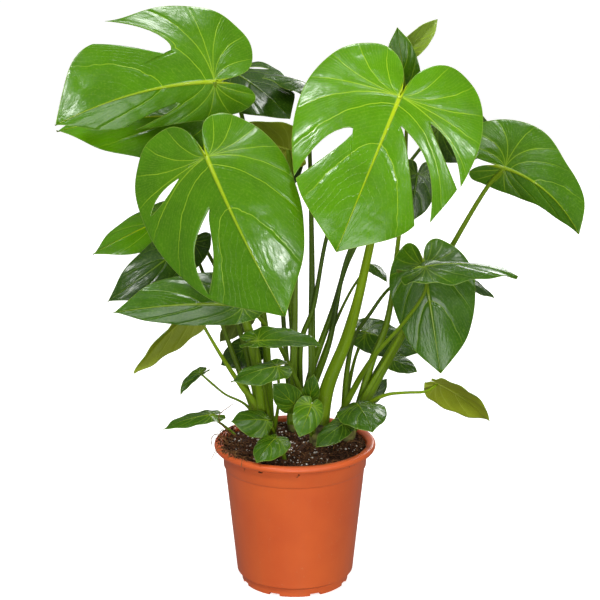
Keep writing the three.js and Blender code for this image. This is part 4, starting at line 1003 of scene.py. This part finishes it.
def grainShape(name, kind, seed):
    picker = random.Random(seed)
    shape = bmesh.new()
    if kind == "crumb":
        bmesh.ops.create_icosphere(shape, subdivisions=1, radius=0.5)
        for v in shape.verts:
            v.co = Vector((v.co.x * 1.3, v.co.y * 0.9, v.co.z * 0.6)) * picker.uniform(0.75, 1.2)
    elif kind == "chip":
        bmesh.ops.create_cube(shape, size=1)
        for v in shape.verts:
            shift = Vector([picker.uniform(-0.15, 0.15) for _ in range(3)])
            v.co = Vector((v.co.x * 1.8, v.co.y * 0.8, v.co.z * 0.3)) + shift
    elif kind == "grain":
        bmesh.ops.create_icosphere(shape, subdivisions=2, radius=0.5)
        for v in shape.verts:
            v.co *= picker.uniform(0.82, 1.12)
    else:
        bend = [picker.uniform(-0.6, 0.6) for _ in range(4)]
        rings = []
        for i in range(9):
            t = i / 8
            side = 0.18 * math.sin(3.1 * t + bend[0]) + bend[1] * t * (1 - t)
            centre = Vector((t - 0.5, side, 0.35 * math.sin(math.pi * t) * abs(bend[2])))
            around = [0.018 * Vector((0, math.cos(a), math.sin(a))) for a in (0.5, 2.6, 4.7)]
            rings.append([shape.verts.new(centre + offset) for offset in around])
        for low, high in zip(rings, rings[1:]):
            for k in range(3):
                shape.faces.new((low[k], low[(k + 1) % 3], high[(k + 1) % 3], high[k]))
        shape.faces.new(rings[0][::-1])
        shape.faces.new(rings[-1])
    bmesh.ops.recalc_face_normals(shape, faces=shape.faces)
    mesh = bpy.data.meshes.new(name)
    shape.to_mesh(mesh)
    shape.free()
    return bpy.data.objects.new(name, mesh)


def scatterTree(name):
    # points over a surface, one shape set on each at a random turn and size, made real at the end
    tree = bpy.data.node_groups.new(name, "GeometryNodeTree")
    face = tree.interface
    face.new_socket("Geometry", in_out="INPUT", socket_type="NodeSocketGeometry")
    for label, kind, start in (("Density", "NodeSocketFloat", 1000.0), ("Smallest", "NodeSocketFloat", 0.001),
                               ("Largest", "NodeSocketFloat", 0.003), ("Tilt", "NodeSocketFloat", 3.0),
                               ("Seed", "NodeSocketInt", 1), ("Shape", "NodeSocketObject", None),
                               ("Material", "NodeSocketMaterial", None)):
        socket = face.new_socket(label, in_out="INPUT", socket_type=kind)
        if start is not None:
            socket.default_value = start
    face.new_socket("Geometry", in_out="OUTPUT", socket_type="NodeSocketGeometry")
    given = addNode(tree, "NodeGroupInput").outputs
    spots = addNode(tree, "GeometryNodeDistributePointsOnFaces", {
        "Mesh": given["Geometry"], "Density": given["Density"], "Seed": given["Seed"]}, "Points")
    size = addNode(tree, "FunctionNodeRandomValue", {
        2: given["Smallest"], 3: given["Largest"], "Seed": given["Seed"]}, 1, data_type="FLOAT")
    back = addNode(tree, "ShaderNodeMath", {0: given["Tilt"], 1: -1.0}, 0, operation="MULTIPLY")
    down = addNode(tree, "ShaderNodeCombineXYZ", {0: back, 1: back, 2: -math.pi}, 0)
    up = addNode(tree, "ShaderNodeCombineXYZ", {0: given["Tilt"], 1: given["Tilt"], 2: math.pi}, 0)
    tilt = addNode(tree, "FunctionNodeRandomValue", {
        0: down, 1: up, "Seed": given["Seed"]}, 0, data_type="FLOAT_VECTOR")
    shape = addNode(tree, "GeometryNodeObjectInfo", {
        "Object": given["Shape"]}, "Geometry", transform_space="ORIGINAL")
    placed = addNode(tree, "GeometryNodeInstanceOnPoints", {
        "Points": spots, "Instance": shape, "Rotation": tilt, "Scale": size}, 0)
    real = addNode(tree, "GeometryNodeRealizeInstances", {"Geometry": placed}, 0)
    coloured = addNode(tree, "GeometryNodeSetMaterial", {"Geometry": real, "Material": given["Material"]}, 0)
    addNode(tree, "NodeGroupOutput", {"Geometry": coloured})
    return tree


scatterGrains = scatterTree("scatterGrains")
grains = {
    # density a square metre, smallest and largest size in mm, tilt in radians, material, shape
    "soilCrumbs": (120000, 1.4, 4.2, 3.1, barkCrumb, "crumb", 11),
    "soilChips": (26000, 2.2, 6.0, 0.7, barkCrumb, "chip", 12),
    "soilPerlite": (15000, 1.4, 3.6, 3.1, perliteGrain, "grain", 13),
    "soilFibres": (9000, 10.0, 26.0, 0.35, coirFibre, "fibre", 14),
}


def scatter(surface, name, density, smallest, largest, tilt, material, kind, seed):
    source = grainShape(name + "Shape", kind, seed)
    bpy.context.scene.collection.objects.link(source)
    carrier = bpy.data.objects.new(name, surface.data.copy())
    bpy.context.scene.collection.objects.link(carrier)
    modifier = carrier.modifiers.new("scatter", "NODES")
    modifier.node_group = scatterGrains
    named = {item.name: item.identifier for item in scatterGrains.interface.items_tree if item.in_out == "INPUT"}
    for label, value in (
            ("Density", float(density)), ("Smallest", smallest * mm), ("Largest", largest * mm), ("Tilt", tilt),
            ("Seed", seed), ("Shape", source), ("Material", material)):
        modifier[named[label]] = value
    bpy.context.view_layer.update()
    made = bpy.data.meshes.new_from_object(carrier.evaluated_get(bpy.context.evaluated_depsgraph_get()))
    carrier.modifiers.clear()
    carrier.data = made
    bpy.data.objects.remove(source)
    finishPiece(carrier, "soil")
    return carrier


topSoil = scatterSurface("topSoil", 12, 72, 1.0, 81.5, 0, 360, lambda x, y: soilHeight(x, y) + 0.3)
for name, (density, smallest, largest, tilt, material, kind, seed) in grains.items():
    scatter(topSoil, name, density, smallest, largest, tilt, material, kind, seed)
bpy.data.objects.remove(topSoil)

# crumbs and roots that cling inside and over the rim at the left
def rimHeight(x, y):
    return 168.0 + 3.8 * float(smoothStep(math.hypot(x, y), 82.5, 86))


rimDirt = scatterSurface("rimDirt", 4, 40, 82.5, 92.5, 146, 232, rimHeight)
scatter(rimDirt, "rimCrumbs", 120000, 1.0, 3.6, 3.1, barkCrumb, "crumb", 21)
scatter(rimDirt, "rimFibres", 26000, 10.0, 22.0, 0.3, coirFibre, "fibre", 22)
bpy.data.objects.remove(rimDirt)

# thin dry roots that curl out of the soil over the rim at the left, and a withered thread above them
looseRoots = {
    "rootOver": ((-66, -22, 164), (-78, -30, 171), (-88, -38, 175), (-94, -40, 170), (-97, -38, 160), 1.0),
    "rootLow": ((-60, -38, 164), (-74, -46, 170), (-86, -48, 175), (-93, -46, 170), (-96, -50, 163), 0.8),
    "rootCurl": ((-70, -6, 166), (-80, -10, 174), (-90, -4, 181), (-98, -12, 178), (-94, -20, 172), 0.8),
    "rootLeft": ((-72, 4, 166), (-84, 2, 173), (-93, 6, 177), (-99, 0, 170), (-98, -6, 162), 0.9),
    "rootBack": ((-68, 22, 166), (-80, 26, 174), (-90, 20, 180), (-97, 26, 175), (-99, 18, 168), 0.7),
    "witheredThread": ((-70, 26, 166), (-84, 18, 182), (-90, 8, 196), (-84, 4, 208), (-72, 6, 214), 1.3),
    "rootFront": ((10, -70, 163), (24, -76, 168), (40, -74, 170), (52, -66, 168), (58, -58, 166), 0.9),
}
for name, spec in looseRoots.items():
    path, at = smoothPath(spec[:-1], 1.5)
    wobble = 0.9 * np.stack([np.sin(at / 3.1 + len(name)), np.cos(at / 4.3), np.sin(at / 5.2 + 1)], 1)
    points, faces, corners = tubeParts(
        path + wobble, at, lambda share, turns: spec[-1] / 2 * (1.15 - 0.5 * share) + 0 * turns,
        6, np.array([0.3, 0.2, 1.0]))
    finishPiece(meshPiece(name, points, faces, [coirFibre], None, None, corners), "soil")
print("soil made")


# ---- floor, light and camera ----
studio = {
    "floor": "#f4f4f2", "glow": 0.68,  # the paper's own light, so that it stays white
    "air": 0.27, "cameraAt": (0.006, -2.130, 0.930), "pitchDown": 15.4, "lens": 114.9, "aim": (0, 0, 0.4),
    # place in metres, side in metres, power in watts
    "lights": {
        "keyLight": ((-1.0, -1.5, 2.2), 0.4, 24), "fillLight": ((1.5, -1.7, 1.6), 0.3, 14),
        "topLight": ((0.2, 0.1, 2.4), 0.45, 18), "frontLight": ((0.1, -2.3, 0.2), 1.5, 40),
        "backLight": ((0.8, 2.0, 1.3), 0.8, 20),
    },
}


def buildStudio():
    material, tree = newMaterial("studioPaper")
    shader = addNode(tree, "ShaderNodeBsdfPrincipled", {
        "Base Color": linearColour(studio["floor"]), "Roughness": 0.9, "Specular IOR Level": 0.0,
        "Emission Color": (1, 1, 1, 1), "Emission Strength": studio["glow"]})
    addNode(tree, "ShaderNodeOutputMaterial", {"Surface": shader.outputs[0]})
    outline = [(-20.0, 0.0), (3.0, 0.0)]
    outline += [(3.0 + 1.5 * math.sin(t), 1.5 - 1.5 * math.cos(t)) for t in np.linspace(0.15, math.pi / 2, 10)]
    outline += [(4.5, 4.5)]
    points = [(x * 1000, y * 1000, z * 1000) for y, z in outline for x in (-20, 20)]
    faces = [[2 * i, 2 * i + 1, 2 * i + 3, 2 * i + 2] for i in range(len(outline) - 1)]
    floor = meshPiece("studioFloor", points, faces, [material])
    # the paper neither mirrors in the leaves nor lights them, so that their green stays deep
    floor.visible_glossy = floor.visible_diffuse = False
    world = bpy.data.worlds.new("studioAir")
    bpy.context.scene.world = world
    world.use_nodes = True
    world.node_tree.nodes.clear()
    air = addNode(world.node_tree, "ShaderNodeBackground", {"Color": (1, 1, 1, 1), "Strength": studio["air"]})
    addNode(world.node_tree, "ShaderNodeOutputWorld", {"Surface": air.outputs[0]})
    for name, (place, size, power) in studio["lights"].items():
        light = bpy.data.lights.new(name, "AREA")
        light.shape, light.size, light.energy = "SQUARE", size, power
        lamp = bpy.data.objects.new(name, light)
        lamp.location = place
        lamp.rotation_euler = (Vector(studio["aim"]) - Vector(place)).to_track_quat("-Z", "Y").to_euler()
        bpy.context.scene.collection.objects.link(lamp)
    cameraData = bpy.data.cameras.new("camera")
    cameraData.lens, cameraData.sensor_width = studio["lens"], 36
    camera = bpy.data.objects.new("camera", cameraData)
    camera.location = studio["cameraAt"]
    camera.rotation_euler = (math.radians(90 - studio["pitchDown"]), 0, 0)
    bpy.context.scene.collection.objects.link(camera)
    bpy.context.scene.camera = camera
    bpy.context.scene.view_settings.view_transform = "Standard"


buildStudio()
print("studio made")
